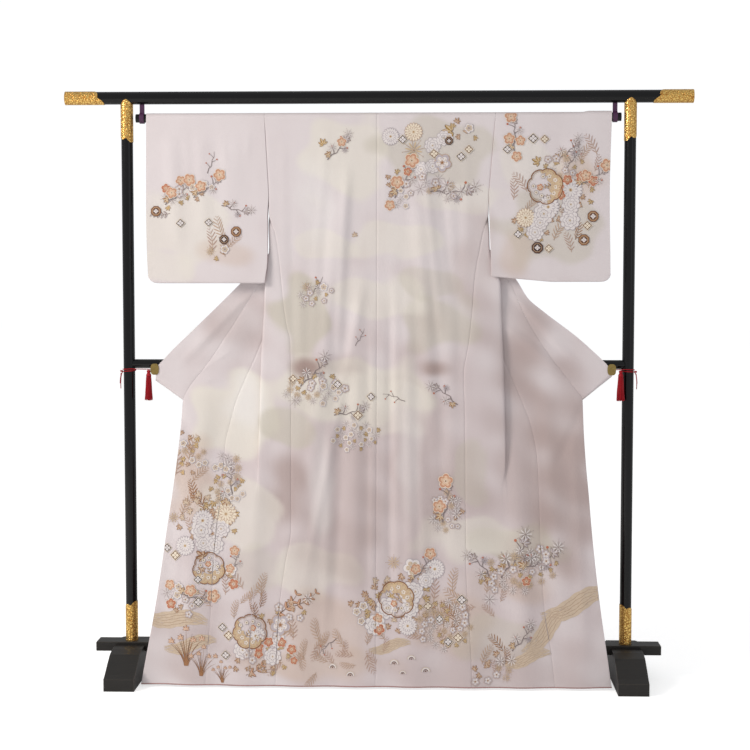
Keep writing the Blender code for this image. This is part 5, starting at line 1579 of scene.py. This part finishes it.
# Clusters: x, z, half_x, half_z, turn, size, turn step, and the motifs that take turns in it
CLUSTERS = (
    # left sleeve
    (-0.440, 1.216, 0.052, 0.026, 30, 0.0715, 23, ("fern", "fern_rose", "fern")),
    (-0.452, 1.214, 0.040, 0.016, 0, 0.0120, 70, ("leaves", "star_brown", "leaves_gold", "plum_white")),
    (-0.540, 1.382, 0.080, 0.032, 20, 0.0120, 50,
     ("leaves", "plum_grey", "leaves_gold", "plum_white", "star")),
    # shoulder
    (0.150, 1.540, 0.120, 0.032, -4, 0.0258, 40, ("peony", "aster_cream", "peony", "leaves_gold", "aster")),
    (0.232, 1.556, 0.060, 0.026, -10, 0.0130, 60, ("leaves", "leaves_gold", "leaves", "plum_white")),
    (0.130, 1.474, 0.085, 0.030, -30, 0.0245, 40, ("peony", "star_brown", "peony", "plum_grey")),
    (0.060, 1.390, 0.036, 0.060, 10, 0.0110, 40,
     ("plum_white", "leaves_gold", "star", "plum_grey", "leaves")),
    (0.180, 1.400, 0.070, 0.028, -20, 0.0120, 50, ("star", "plum_grey", "star", "star_brown")),
    # middle
    (-0.175, 1.100, 0.050, 0.034, 20, 0.0100, 60, ("star", "plum_grey", "leaves_gold")),
    (-0.170, 0.830, 0.090, 0.040, 0, 0.0110, 60,
     ("star", "plum_grey", "star_brown", "plum_white", "leaves_gold")),
    (-0.060, 0.700, 0.070, 0.040, 0, 0.0090, 60, ("star", "plum_white", "leaves_gold")),
    (0.200, 0.490, 0.045, 0.060, 0, 0.0100, 60, ("star", "leaves", "plum_grey", "star_brown")),
    # lower left, from the wing down to the hem
    (-0.540, 0.560, 0.060, 0.080, 20, 0.0780, 11, ("fern", "fern_rose", "fern_brown")),
    (-0.520, 0.450, 0.070, 0.050, 0, 0.0715, 17, ("fern_brown", "fern", "fern_rose")),
    (-0.460, 0.440, 0.064, 0.056, 0, 0.0299, 30, ("peony", "aster", "peony", "aster_cream")),
    (-0.505, 0.390, 0.060, 0.046, 30, 0.0272, 40, ("peony", "aster", "leaves", "peony")),
    (-0.475, 0.470, 0.085, 0.075, 0, 0.0140, 50,
     ("leaves", "leaves_gold", "leaves_tan", "leaves", "leaves_tan")),
    (-0.440, 0.320, 0.060, 0.030, -20, 0.0160, 50, ("leaves", "peony", "leaves", "plum_white")),
    (-0.530, 0.650, 0.050, 0.060, 20, 0.0110, 60, ("leaves_gold", "star_brown", "plum_white", "leaves")),
    (-0.420, 0.570, 0.050, 0.080, 0, 0.0110, 60, ("star_brown", "leaves_gold", "plum_white", "star")),
    (-0.400, 0.230, 0.060, 0.060, 0, 0.0650, 19, ("fern", "fern_rose")),
    (-0.545, 0.245, 0.050, 0.046, 0, 0.0130, 50,
     ("plum_grey", "plum_white", "leaves", "leaves_tan", "star")),
    # lower middle left
    (-0.300, 0.130, 0.080, 0.060, 10, 0.0272, 40, ("peony", "aster", "peony", "plum_grey")),
    (-0.310, 0.090, 0.090, 0.060, 10, 0.0130, 50,
     ("leaves", "plum_coral", "leaves", "leaves_gold", "plum_grey")),
    (-0.200, 0.110, 0.110, 0.050, -10, 0.0650, 21, ("fern", "fern_rose", "fern")),
    (-0.120, 0.090, 0.110, 0.050, 0, 0.0585, 27, ("fern_rose", "fern")),
    (-0.250, 0.210, 0.080, 0.030, 20, 0.0130, 50, ("leaves", "leaves_gold", "plum_grey", "leaves")),
    (-0.340, 0.220, 0.036, 0.040, 0, 0.0650, 13, ("fern_brown", "fern")),
    # lower middle right
    (0.070, 0.215, 0.085, 0.060, 20, 0.0299, 40, ("peony", "peony", "aster")),
    (0.120, 0.310, 0.060, 0.050, -20, 0.0258, 40, ("peony", "plum_white", "peony", "aster")),
    (0.060, 0.240, 0.105, 0.085, 0, 0.0140, 50, ("leaves", "leaves_gold", "leaves", "leaves_tan")),
    (0.185, 0.215, 0.085, 0.090, 0, 0.0715, 14, ("fern", "fern_rose", "fern")),
    (0.185, 0.150, 0.075, 0.050, 0, 0.0676, 16, ("fern_brown", "fern", "fern_rose")),
    (0.190, 0.180, 0.080, 0.070, 0, 0.0110, 40, ("star", "plum_grey", "star_brown", "leaves_gold")),
    (-0.020, 0.220, 0.050, 0.040, 0, 0.0130, 50, ("leaves", "plum_white", "leaves_gold")),
    (0.000, 0.100, 0.060, 0.050, 0, 0.0585, 25, ("fern_rose", "fern")),
    # right wing
    (0.330, 0.060, 0.070, 0.040, 15, 0.0650, 18, ("fern_brown", "fern", "fern_rose")),
    (0.330, 0.060, 0.070, 0.038, 15, 0.0130, 40, ("star_brown", "leaves", "plum_grey", "star", "leaves")),
    (0.400, 0.330, 0.110, 0.060, 15, 0.0120, 40, ("star", "plum_grey", "leaves_gold", "star_brown")),
    (0.330, 0.240, 0.050, 0.060, 0, 0.0585, 30, ("fern_rose", "fern")),
    # right sleeve
    (0.520, 1.340, 0.075, 0.050, 25, 0.0313, 30, ("peony", "aster", "peony", "aster")),
    (0.440, 1.300, 0.050, 0.034, 0, 0.0272, 40, ("peony", "aster_cream", "peony")),
    (0.535, 1.375, 0.085, 0.060, 25, 0.0140, 50,
     ("leaves", "plum_coral", "leaves", "leaves_gold", "leaves_tan")),
    (0.440, 1.290, 0.060, 0.040, 0, 0.0130, 50, ("leaves", "leaves_gold", "leaves")),
    (0.400, 1.330, 0.040, 0.070, 0, 0.0650, 17, ("fern", "fern_rose")),
    (0.590, 1.440, 0.050, 0.060, 0, 0.0650, 15, ("fern_rose", "fern", "fern_rose")),
    (0.530, 1.240, 0.070, 0.040, 20, 0.0715, 16, ("fern_brown", "fern", "fern_rose")),
    (0.520, 1.460, 0.060, 0.040, 20, 0.0110, 50, ("star", "leaves_gold", "plum_grey", "star_brown")),
)
CLUSTER_STEP = 0.84
FERN_SIZE, FERN_STEP = 0.040, 0.31


def placed():
    """Every motif's name, place, size and turn. In a cluster, the k-th of n lies at the square root
    of (k + 0.5) / n of the way out, at k times the golden angle, and n follows from the area."""
    rows = [(motif, x + 1j * z, size, angle) for motif, x, z, size, angle in PAINTING]
    for x, z, half_x, half_z, turn, size, step, motifs in CLUSTERS:
        reach = size * (CLUSTER_STEP if size < FERN_SIZE else FERN_STEP)
        count = max(int(math.pi * half_x * half_z / (math.pi * reach * reach) * 0.62), 4)
        for k in range(count):
            spot = math.sqrt((k + 0.5) / count) * np.exp(2.39996j * k)
            spot = (spot.real * half_x + 1j * spot.imag * half_z) * np.exp(1j * math.radians(turn))
            scale = size * (0.84 + 0.32 * ((k * 0.618) % 1))
            rows.append((motifs[k % len(motifs)], x + 1j * z + spot, scale, step * k + 60))
    return rows


# How far the first paint lies above the cloth, and each layer and each level over it
FIRST_COAT, LAYER_STEP, LEVEL = 0.00045, 0.00025, 0.00008
# Large shapes get a middle point, and the largest a ring between, to follow the cloth's curve
FAN, RINGED = 0.0034, 0.0062
SMALLEST_AREA = 2e-8


def near_sleeve(side, z):
    """Inner and outer limits and lowest place of the flowers on a sleeve at z."""
    low = SLEEVE_BOTTOM[side][0] + 0.002
    return sleeve_seam(side, z) + 0.0006, sleeve_line(side, "outer", z) - 0.0010, low


def panels(side):
    """For each panel that faces the viewer: its name, its depth at (out, z), and its inner and outer
    limits and lowest place at z."""
    low = HEM_HEIGHT + 0.0012

    def lines(z):
        return front_lines(side, z)

    def overlap_depth(out, z):
        start = overlap_surface(side, 0 * z, z)[0]
        return overlap_surface(side, (out - start) / (body_line(side, "edge", z) - start), z)[1]

    return (
        (
            "back",
            lambda out, z: back_surface(out, z, side),
            lambda z: (0 * z + 0.0004, lines(z)[0] - 0.0006, low),
        ),
        ("sleeve", lambda out, z: sleeve_surface(side, out, z), lambda z: near_sleeve(side, z)),
        (
            "front",
            lambda out, z: front_reach(side, out, z, 0.0, 1.0),
            lambda z: (lines(z)[0] + 0.0010, np.where(z < 1.29, lines(z)[1] - 0.0020, 0.0), low),
        ),
        (
            "front",
            lambda out, z: front_reach(side, out, z, np.where(lines(z)[2] > lines(z)[1], 1.0, 2.0), 3.0),
            lambda z: (lines(z)[1] + 0.0005, np.where(z < 1.29, lines(z)[3] - 0.0006, 0.0), low),
        ),
        (
            "okumi",
            overlap_depth,
            lambda z: (
                np.maximum(lines(z)[3], lines(z)[1]) + 0.0012,
                np.where(z < 1.29, body_line(side, "edge", z) - 0.0012, 0.0),
                low,
            ),
        ),
    )


def painting():
    """Every shape of every motif where it lies: arrays of outlines by number of corners, and beside
    them each shape's colour, height above the cloth and whether it is metal."""
    found = {}
    for order, (motif, place, size, angle) in enumerate(placed()):
        layer, shapes = MOTIFS[motif]
        for tint, level, outline in turned(shapes, place, angle, size):
            rise = FIRST_COAT + LAYER_STEP * layer + LEVEL * level + LEVEL / 8 * (order % 7)
            found.setdefault(len(outline), []).append((outline, linear(PAINTS[tint]), rise, tint in METAL))
    return {corners: [np.array(column) for column in zip(*rows)] for corners, rows in found.items()}


def fan(corners, rings):
    """The faces of one shape: its whole outline, or bands between its rings and triangles to its
    middle, whose number follows the last ring's."""
    if not rings:
        return [list(range(corners))]
    last, around_it = (rings - 1) * corners, range(corners)
    bands = [
        [low + k, low + (k + 1) % corners, low + corners + (k + 1) % corners, low + corners + k]
        for low in range(0, last, corners) for k in around_it
    ]
    return bands + [[last + k, last + (k + 1) % corners, rings * corners] for k in around_it]


def laid_on(name, shapes, side, depth, limits):
    """The shapes that fall on one panel: each corner is moved inside the panel's limits, a shape that
    has no area left is dropped, and each corner takes the panel's own depth."""
    points, faces, tints, metal, start = [], [], [], [], 0
    for corners, (outline, tint, rise, is_metal) in shapes.items():
        out, z = side * outline.real, outline.imag
        inner, outer, low = limits(z)
        kept = np.any((out > inner) & (out < outer) & (z > low), axis=1)
        out, z, rise, tint_now, metal_now = out[kept], z[kept], rise[kept], tint[kept], is_metal[kept]
        if not len(out):
            continue
        z = np.clip(z, low, ROD_HEIGHT + 0.010)
        inner, outer, low = limits(z)
        out = np.clip(out, inner, np.maximum(outer, inner))
        area = np.abs(np.sum(out * np.roll(z, -1, 1) - z * np.roll(out, -1, 1), axis=1)) / 2
        kept = area > SMALLEST_AREA
        out, z, rise, tint_now, metal_now = out[kept], z[kept], rise[kept], tint_now[kept], metal_now[kept]
        if not len(out):
            continue
        middle = np.stack([out.mean(1), z.mean(1)])[..., None]
        reach = np.hypot(out - middle[0], z - middle[1]).max(1)
        for least, most, rings in ((0, FAN, ()), (FAN, RINGED, (0,)), (RINGED, 1, (0.5, 0))):
            chosen = (reach >= least) & (reach < most) if corners > 4 else np.full(len(out), not rings)
            if not chosen.any():
                continue
            flat = np.stack([out[chosen], z[chosen]])
            spots = [flat] + [middle[:, chosen] + (flat - middle[:, chosen]) * share for share in rings]
            spots = np.concatenate(spots, axis=2)[..., : corners * max(len(rings), 1) + bool(rings)]
            pattern = fan(corners, len(rings))
            y = depth(spots[0], spots[1]) - bpy.context.scene.kimono_cloth.wall / 2 - rise[chosen, None]
            points.append(np.stack([side * spots[0], y, spots[1]], -1).reshape(-1, 3))
            first = start + np.arange(chosen.sum()) * spots.shape[2]
            faces += [[number + corner for corner in face] for number in first.tolist() for face in pattern]
            start += spots[0].size
            tints.append(np.repeat(tint_now[chosen], spots.shape[2], axis=0))
            metal += np.repeat(metal_now[chosen], len(pattern)).tolist()
    piece = new_mesh(name, np.concatenate(points), faces, [shared(painted_silk), shared(couched_gold)])
    paint(piece, "tint", np.concatenate(tints))
    piece.data.polygons.foreach_set("material_index", [int(flag) for flag in metal])
    piece.data.shade_flat()
    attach(piece, "root")
    return piece


class KIMONO_OT_flowers(bpy.types.Operator):
    """The painted flowers, one piece for each panel's side. A shape is drawn in the plane of the front
    view and laid on its panel, 0.45 mm or more above the silk."""

    bl_idname = "kimono.flowers"
    bl_label = "Painted flowers"

    def execute(self, context):
        shapes = painting()
        for side, word in SIDES:
            on_cloth = {}
            for order, (node, depth, limits) in enumerate(panels(side)):
                name = f"flowers_{node}_{word}_{order}"
                on_cloth.setdefault(node, []).append(laid_on(name, shapes, side, depth, limits))
        return {"FINISHED"}


# Cords, tassels and metal

def tubes(name, points, finishes):
    """Closed tubes from an array of tube, ring, corner and xyz, with a flat cap on each end."""
    count, rings, corners = points.shape[:3]
    start = (np.arange(count) * rings * corners)[:, None, None]
    sides = (grid_faces(rings, corners, wrap_columns=True)[None] + start).reshape(-1, 4)
    ring = np.arange(corners)
    ends = (np.stack([ring, ring + (rings - 1) * corners])[None] + start).reshape(-1, corners)
    piece = new_mesh(name, points, sides.tolist() + ends.tolist(), finishes)
    shape = bmesh.new()
    shape.from_mesh(piece.data)
    bmesh.ops.recalc_face_normals(shape, faces=shape.faces)
    shape.to_mesh(piece.data)
    shape.free()
    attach(piece, "root")
    return piece


def run_along(path):
    """The length of the path up to each of its points."""
    return np.concatenate([[0], np.cumsum(np.linalg.norm(np.diff(path, axis=0), axis=1))])


def around_path(path, radius, corners=8, strands=1, reach=0.0, turn_length=1.0):
    """Rings of points along a path. With two strands or more, each winds round the path at reach
    from it, once in every turn_length."""
    path = np.asarray(path, float)
    along = np.gradient(path, axis=0)
    along /= np.linalg.norm(along, axis=1)[:, None]
    first = np.cross(along[0], [0.3, 0.5, 0.8])
    normals = [first / np.linalg.norm(first)]
    for tangent in along[1:]:
        normal = normals[-1] - tangent * (normals[-1] @ tangent)
        normals.append(normal / np.linalg.norm(normal))
    normals = np.array(normals)
    others = np.cross(along, normals)
    far = run_along(path)
    phase = 2 * np.pi * (far[None, :] / turn_length + np.arange(strands)[:, None] / strands)
    middle = path + reach * (np.cos(phase)[..., None] * normals + np.sin(phase)[..., None] * others)
    ring = 2 * np.pi * np.arange(corners) / corners
    rim = np.cos(ring)[:, None] * normals[:, None] + np.sin(ring)[:, None] * others[:, None]
    return middle[:, :, None] + np.broadcast_to(np.asarray(radius, float), len(path))[:, None, None] * rim


def smooth_path(points, spacing):
    """A Catmull-Rom curve through the points, read at about equal spacing."""
    points = np.asarray(points, float)
    full = np.concatenate([2 * points[:1] - points[1:2], points, 2 * points[-1:] - points[-2:-1]])
    t = np.linspace(0, 1, 24, endpoint=False)[:, None]
    p0, p1, p2, p3 = (full[k : len(full) - 3 + k, None] for k in range(4))
    curve = 0.5 * (
        2 * p1 + (p2 - p0) * t + (2 * p0 - 5 * p1 + 4 * p2 - p3) * t**2 + (3 * p1 - p0 - 3 * p2 + p3) * t**3
    )
    fine = np.concatenate([curve.reshape(-1, 3), points[-1:]])
    far = run_along(fine)
    at = np.linspace(0, far[-1], max(int(far[-1] / spacing), 8))
    return np.stack([np.interp(at, far, fine[:, axis]) for axis in range(3)], -1)


def middle_of(node):
    low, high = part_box(node)
    return (np.array(low) + np.array(high)) / 2, np.array(low), np.array(high)


class KIMONO_OT_ties(bpy.types.Operator):
    """The red ties, each of two strands twisted together. Each runs from its clip to the post, once
    round it as a screw line, and hangs down behind, with a small knot in the shape of a trefoil."""

    bl_idname = "kimono.ties"
    bl_label = "Ties"

    def execute(self, context):
        trim = context.scene.kimono_trim
        radius = trim.cord_radius
        reach = POST_RADIUS + GAP + radius
        silk = [shared(red_silk)]

        def two_strands(name, path):
            rings = around_path(smooth_path(path, 0.0006), radius * 0.54, 8, 2, radius * 0.46, trim.twist)
            return tubes(name, rings, silk)

        for side, word in SIDES:
            _, clip_low, clip_high = middle_of(f"clip_{word}")
            clip_out = max(side * clip_low[0], side * clip_high[0])
            start = np.array((clip_out + GAP, TIE_DEPTH, TIE_HEIGHT[side]))
            turns = np.radians(np.arange(TIE_MEETS, 416, 9))
            drop = TIE_HEIGHT[side] - TIE_DROP * (turns - turns[0]) / (turns[-1] - turns[0])
            wound = np.stack([POST_OUT + reach * np.sin(turns), -reach * np.cos(turns), drop], -1)
            straight = start + (TIE_STRAIGHT, 0, 0)
            lead = [start] + [straight + (wound[0] - straight) * t for t in (0, 0.35, 0.7)]
            end = [wound[-1] + TIE_AWAY * k + (0, 0, extra) for k, extra in TIE_SAG]
            path = np.concatenate([lead, wound, end])
            tie = two_strands(f"cord_{word}", path * (side, 1, 1))
            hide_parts(f"tie_{word}")
            knot, knot_low, knot_high = middle_of(f"tie_knot_{word}")
            t = np.linspace(0, 2 * np.pi * 1.02, 90)
            loop = np.stack(
                [np.sin(t) + 2 * np.sin(2 * t), np.cos(t) - 2 * np.cos(2 * t), -1.3 * np.sin(3 * t)], -1
            )
            size = (knot_high[2] - knot_low[2]) / 2
            bow = tubes(f"knot_{word}", around_path(knot + loop * size * 0.24, size * 0.30, 10), silk)
            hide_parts(f"tie_knot_{word}")
            top = knot + np.array((0.0012 * side, -0.0008, -size - GAP))
            hang = [top + (side * dx, 0, dz) for dx, dz in TIE_END]
            tail = two_strands(f"cord_end_{word}", hang)
            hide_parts(f"tie_end_{word}")
        return {"FINISHED"}


class KIMONO_OT_tassels(bpy.types.Operator):
    """A tassel on each tie: a turned head bound with thread, and threads that hang from it. A thread
    leaves the head in a disc of points at the golden angle and wanders by a slow sine."""

    bl_idname = "kimono.tassels"
    bl_label = "Tassels"

    def execute(self, context):
        trim = context.scene.kimono_trim
        chance = np.random.default_rng(11)
        silk = [shared(red_silk)]
        for side, word in SIDES:
            centre, low, high = middle_of(f"tassel_{word}")
            top = np.array((centre[0], centre[1], high[2]))
            radius, drop = np.array(TASSEL_HEAD).T
            ring = 2 * np.pi * np.arange(24) / 24
            ribs = 1 + 0.05 * np.cos(12 * ring)
            head = np.stack([
                top[0] + radius[:, None] * np.cos(ring) * ribs,
                top[1] + radius[:, None] * np.sin(ring) * ribs,
                top[2] + drop[:, None] + 0 * ring,
            ], -1)
            head = tubes(f"tassel_head_{word}", head[None], silk)
            turns = np.linspace(0, 2 * np.pi * 5, 160)
            binding = np.stack([
                top[0] + BINDING_RADIUS * np.cos(turns),
                top[1] + BINDING_RADIUS * np.sin(turns),
                top[2] - 0.0070 - 0.0030 * turns / turns[-1],
            ], -1)
            binding = tubes(f"tassel_binding_{word}", around_path(binding, 0.00032, 6), silk)
            count = trim.strands
            order = np.arange(count) + 0.5
            spin = order * math.radians(137.508)
            share = np.sqrt(order / count)
            t = np.linspace(0, 1, 14)
            spread = 0.0064 * share[:, None] * (1 + 0.75 * t**0.8)
            waves, phase = chance.uniform(4, 9, (count, 1)), chance.uniform(0, 6.3, (count, 1))
            swing = 0.0007 * np.sin(t * waves + phase) * t
            length = (top[2] - low[2] - THREADS_DROP) * chance.uniform(0.93, 1.0, count)
            x = top[0] + (spread + swing) * np.cos(spin)[:, None]
            y = top[1] + (spread + swing) * np.sin(spin)[:, None]
            z = top[2] - THREADS_DROP - length[:, None] * t
            corner = 2 * np.pi * np.arange(4) / 4
            width = THREAD_RADIUS * np.where(t == 1, 0.5, 1.0)[None, :, None]
            strands = np.stack([
                x[..., None] + width * np.cos(corner),
                y[..., None] + width * np.sin(corner),
                np.repeat(z[..., None], 4, axis=2),
            ], -1)
            threads = tubes(f"tassel_threads_{word}", strands, silk)
            for piece in (head, binding, threads):
                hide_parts(f"tassel_{word}")
        return {"FINISHED"}


class KIMONO_OT_rack(bpy.types.Operator):
    """The rack's own solids keep their shapes and take the finishes of lacquer, stained wood, gilt,
    painted iron and brass."""

    bl_idname = "kimono.rack"
    bl_label = "Rack"

    def execute(self, context):
        finishes = (
            (polished_lacquer, ("top_bar", "hanging_rod", "middle_bar", "post_left", "post_right")),
            (stained_base, ("low_beam", "foot_left", "foot_right")),
            (painted_iron, ("hook_left", "hook_right")),
            (aged_brass, ("clip_left", "clip_right")),
            (chased_gilt, [f"gold_{place}_{word}" for place in ("bar_end", "post_top", "post_bottom")
                           for _, word in SIDES]),
        )
        for maker, nodes in finishes:
            for node in nodes:
                solid = bpy.data.objects[node]
                for place in range(max(len(solid.material_slots), 1)):
                    if solid.material_slots:
                        solid.material_slots[place].material = shared(maker)
                    else:
                        solid.data.materials.append(shared(maker))
        return {"FINISHED"}


def shown(tree, unseen, seen):
    """One strength for what the camera sees and another for the light that falls on things."""
    inputs = {"Value": add(tree, "LightPath", {}, "Is Camera Ray"), "To Min": unseen, "To Max": seen}
    return add(tree, "MapRange", inputs)


def aimed(place, aim):
    """The turn that points an object's -Z from its place at its aim."""
    return (Vector(aim) - Vector(place)).to_track_quat("-Z", "Y").to_euler()


class KIMONO_OT_stage(bpy.types.Operator):
    """A pale floor, a soft key light from the front left, a weak fill from the right, a pale sky and
    the camera."""

    bl_idname = "kimono.stage"
    bl_label = "Floor, light and camera"

    def execute(self, context):
        stage = context.scene.kimono_stage
        points = FLOOR_HALF * np.array([(-1, -1, 0), (1, -1, 0), (1, 1, 0), (-1, 1, 0)], float)
        material, tree, shader, place = new_material("studio_floor")
        dust = add(tree, "TexNoise", {"Vector": place, "Scale": 1 / 0.7})
        colour = {FACTOR: dust, FIRST: stage.floor, SECOND: "#F0F0EF"}
        feed(tree, shader, {
            "Base Color": add(tree, "Mix", colour, MIXED, **BLEND),
            "Roughness": 0.9,
            "Emission Strength": shown(tree, 0.08, 0.56),
        })
        floor = new_mesh("studio_floor", points, [[0, 1, 2, 3]], [material])

        for name, place, aim, size, power, tint in (
            ("key_light", (-3.8, -2.5, 3.2), (0, 0, 0.95), 1.6, stage.key, "#FFF9F3"),
            ("fill_light", (3.4, -3.0, 1.8), (0, 0, 0.8), 2.5, stage.key * FILL_SHARE, "#F2F5FF"),
        ):
            lamp = bpy.data.lights.new(name, "AREA")
            lamp.size = size
            lamp.energy = power
            lamp.color = linear(tint)
            light = bpy.data.objects.new(name, lamp)
            light.location = place
            light.rotation_euler = aimed(place, aim)
            context.scene.collection.objects.link(light)

        world = bpy.data.worlds.new("studio_sky")
        world.use_nodes = True
        tree = world.node_tree
        sky = tree.nodes["Background"]
        sky.inputs["Color"].default_value = (*linear("#F4F5F7"), 1)
        tree.links.new(shown(tree, stage.sky, 1.12), sky.inputs["Strength"])
        context.scene.world = world

        lens = bpy.data.cameras.new("camera")
        lens.lens = stage.lens
        lens.sensor_width = 36
        camera = bpy.data.objects.new("camera", lens)
        camera.location = CAMERA_PLACE
        camera.rotation_euler = aimed(CAMERA_PLACE, CAMERA_AIM)
        context.scene.collection.objects.link(camera)
        context.scene.camera = camera
        context.scene.view_settings.view_transform = "Standard"
        return {"FINISHED"}


OPERATORS = (
    KIMONO_OT_stage,
    KIMONO_OT_backs,
    KIMONO_OT_fronts,
    KIMONO_OT_overlaps,
    KIMONO_OT_collars,
    KIMONO_OT_sleeves,
    KIMONO_OT_flowers,
    KIMONO_OT_ties,
    KIMONO_OT_tassels,
    KIMONO_OT_rack,
)


class KIMONO_PT_panel(bpy.types.Panel):
    """Lists the settings and the pieces in the sidebar."""

    bl_label = "Kimono"
    bl_idname = "KIMONO_PT_panel"
    bl_space_type = "VIEW_3D"
    bl_region_type = "UI"
    bl_category = "Kimono"

    def draw(self, context):
        for settings in (context.scene.kimono_cloth, context.scene.kimono_trim, context.scene.kimono_stage):
            box = self.layout.box()
            for name in settings.bl_rna.properties.keys():
                if name not in ("rna_type", "name"):
                    box.prop(settings, name)
        for operator in OPERATORS:
            self.layout.operator(operator.bl_idname)


SETTINGS = (("kimono_cloth", ClothSettings), ("kimono_trim", TrimSettings), ("kimono_stage", StageSettings))
CLASSES = tuple(group for _, group in SETTINGS) + OPERATORS + (KIMONO_PT_panel,)


def register():
    for each in CLASSES:
        bpy.utils.register_class(each)
    for name, group in SETTINGS:
        setattr(bpy.types.Scene, name, bpy.props.PointerProperty(type=group))


def unregister():
    for name, _ in SETTINGS:
        delattr(bpy.types.Scene, name)
    for each in reversed(CLASSES):
        bpy.utils.unregister_class(each)


def main():
    register()
    for operator in OPERATORS:
        family, name = operator.bl_idname.split(".")
        getattr(getattr(bpy.ops, family), name)()
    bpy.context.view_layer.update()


if __name__ == "__main__":
    main()
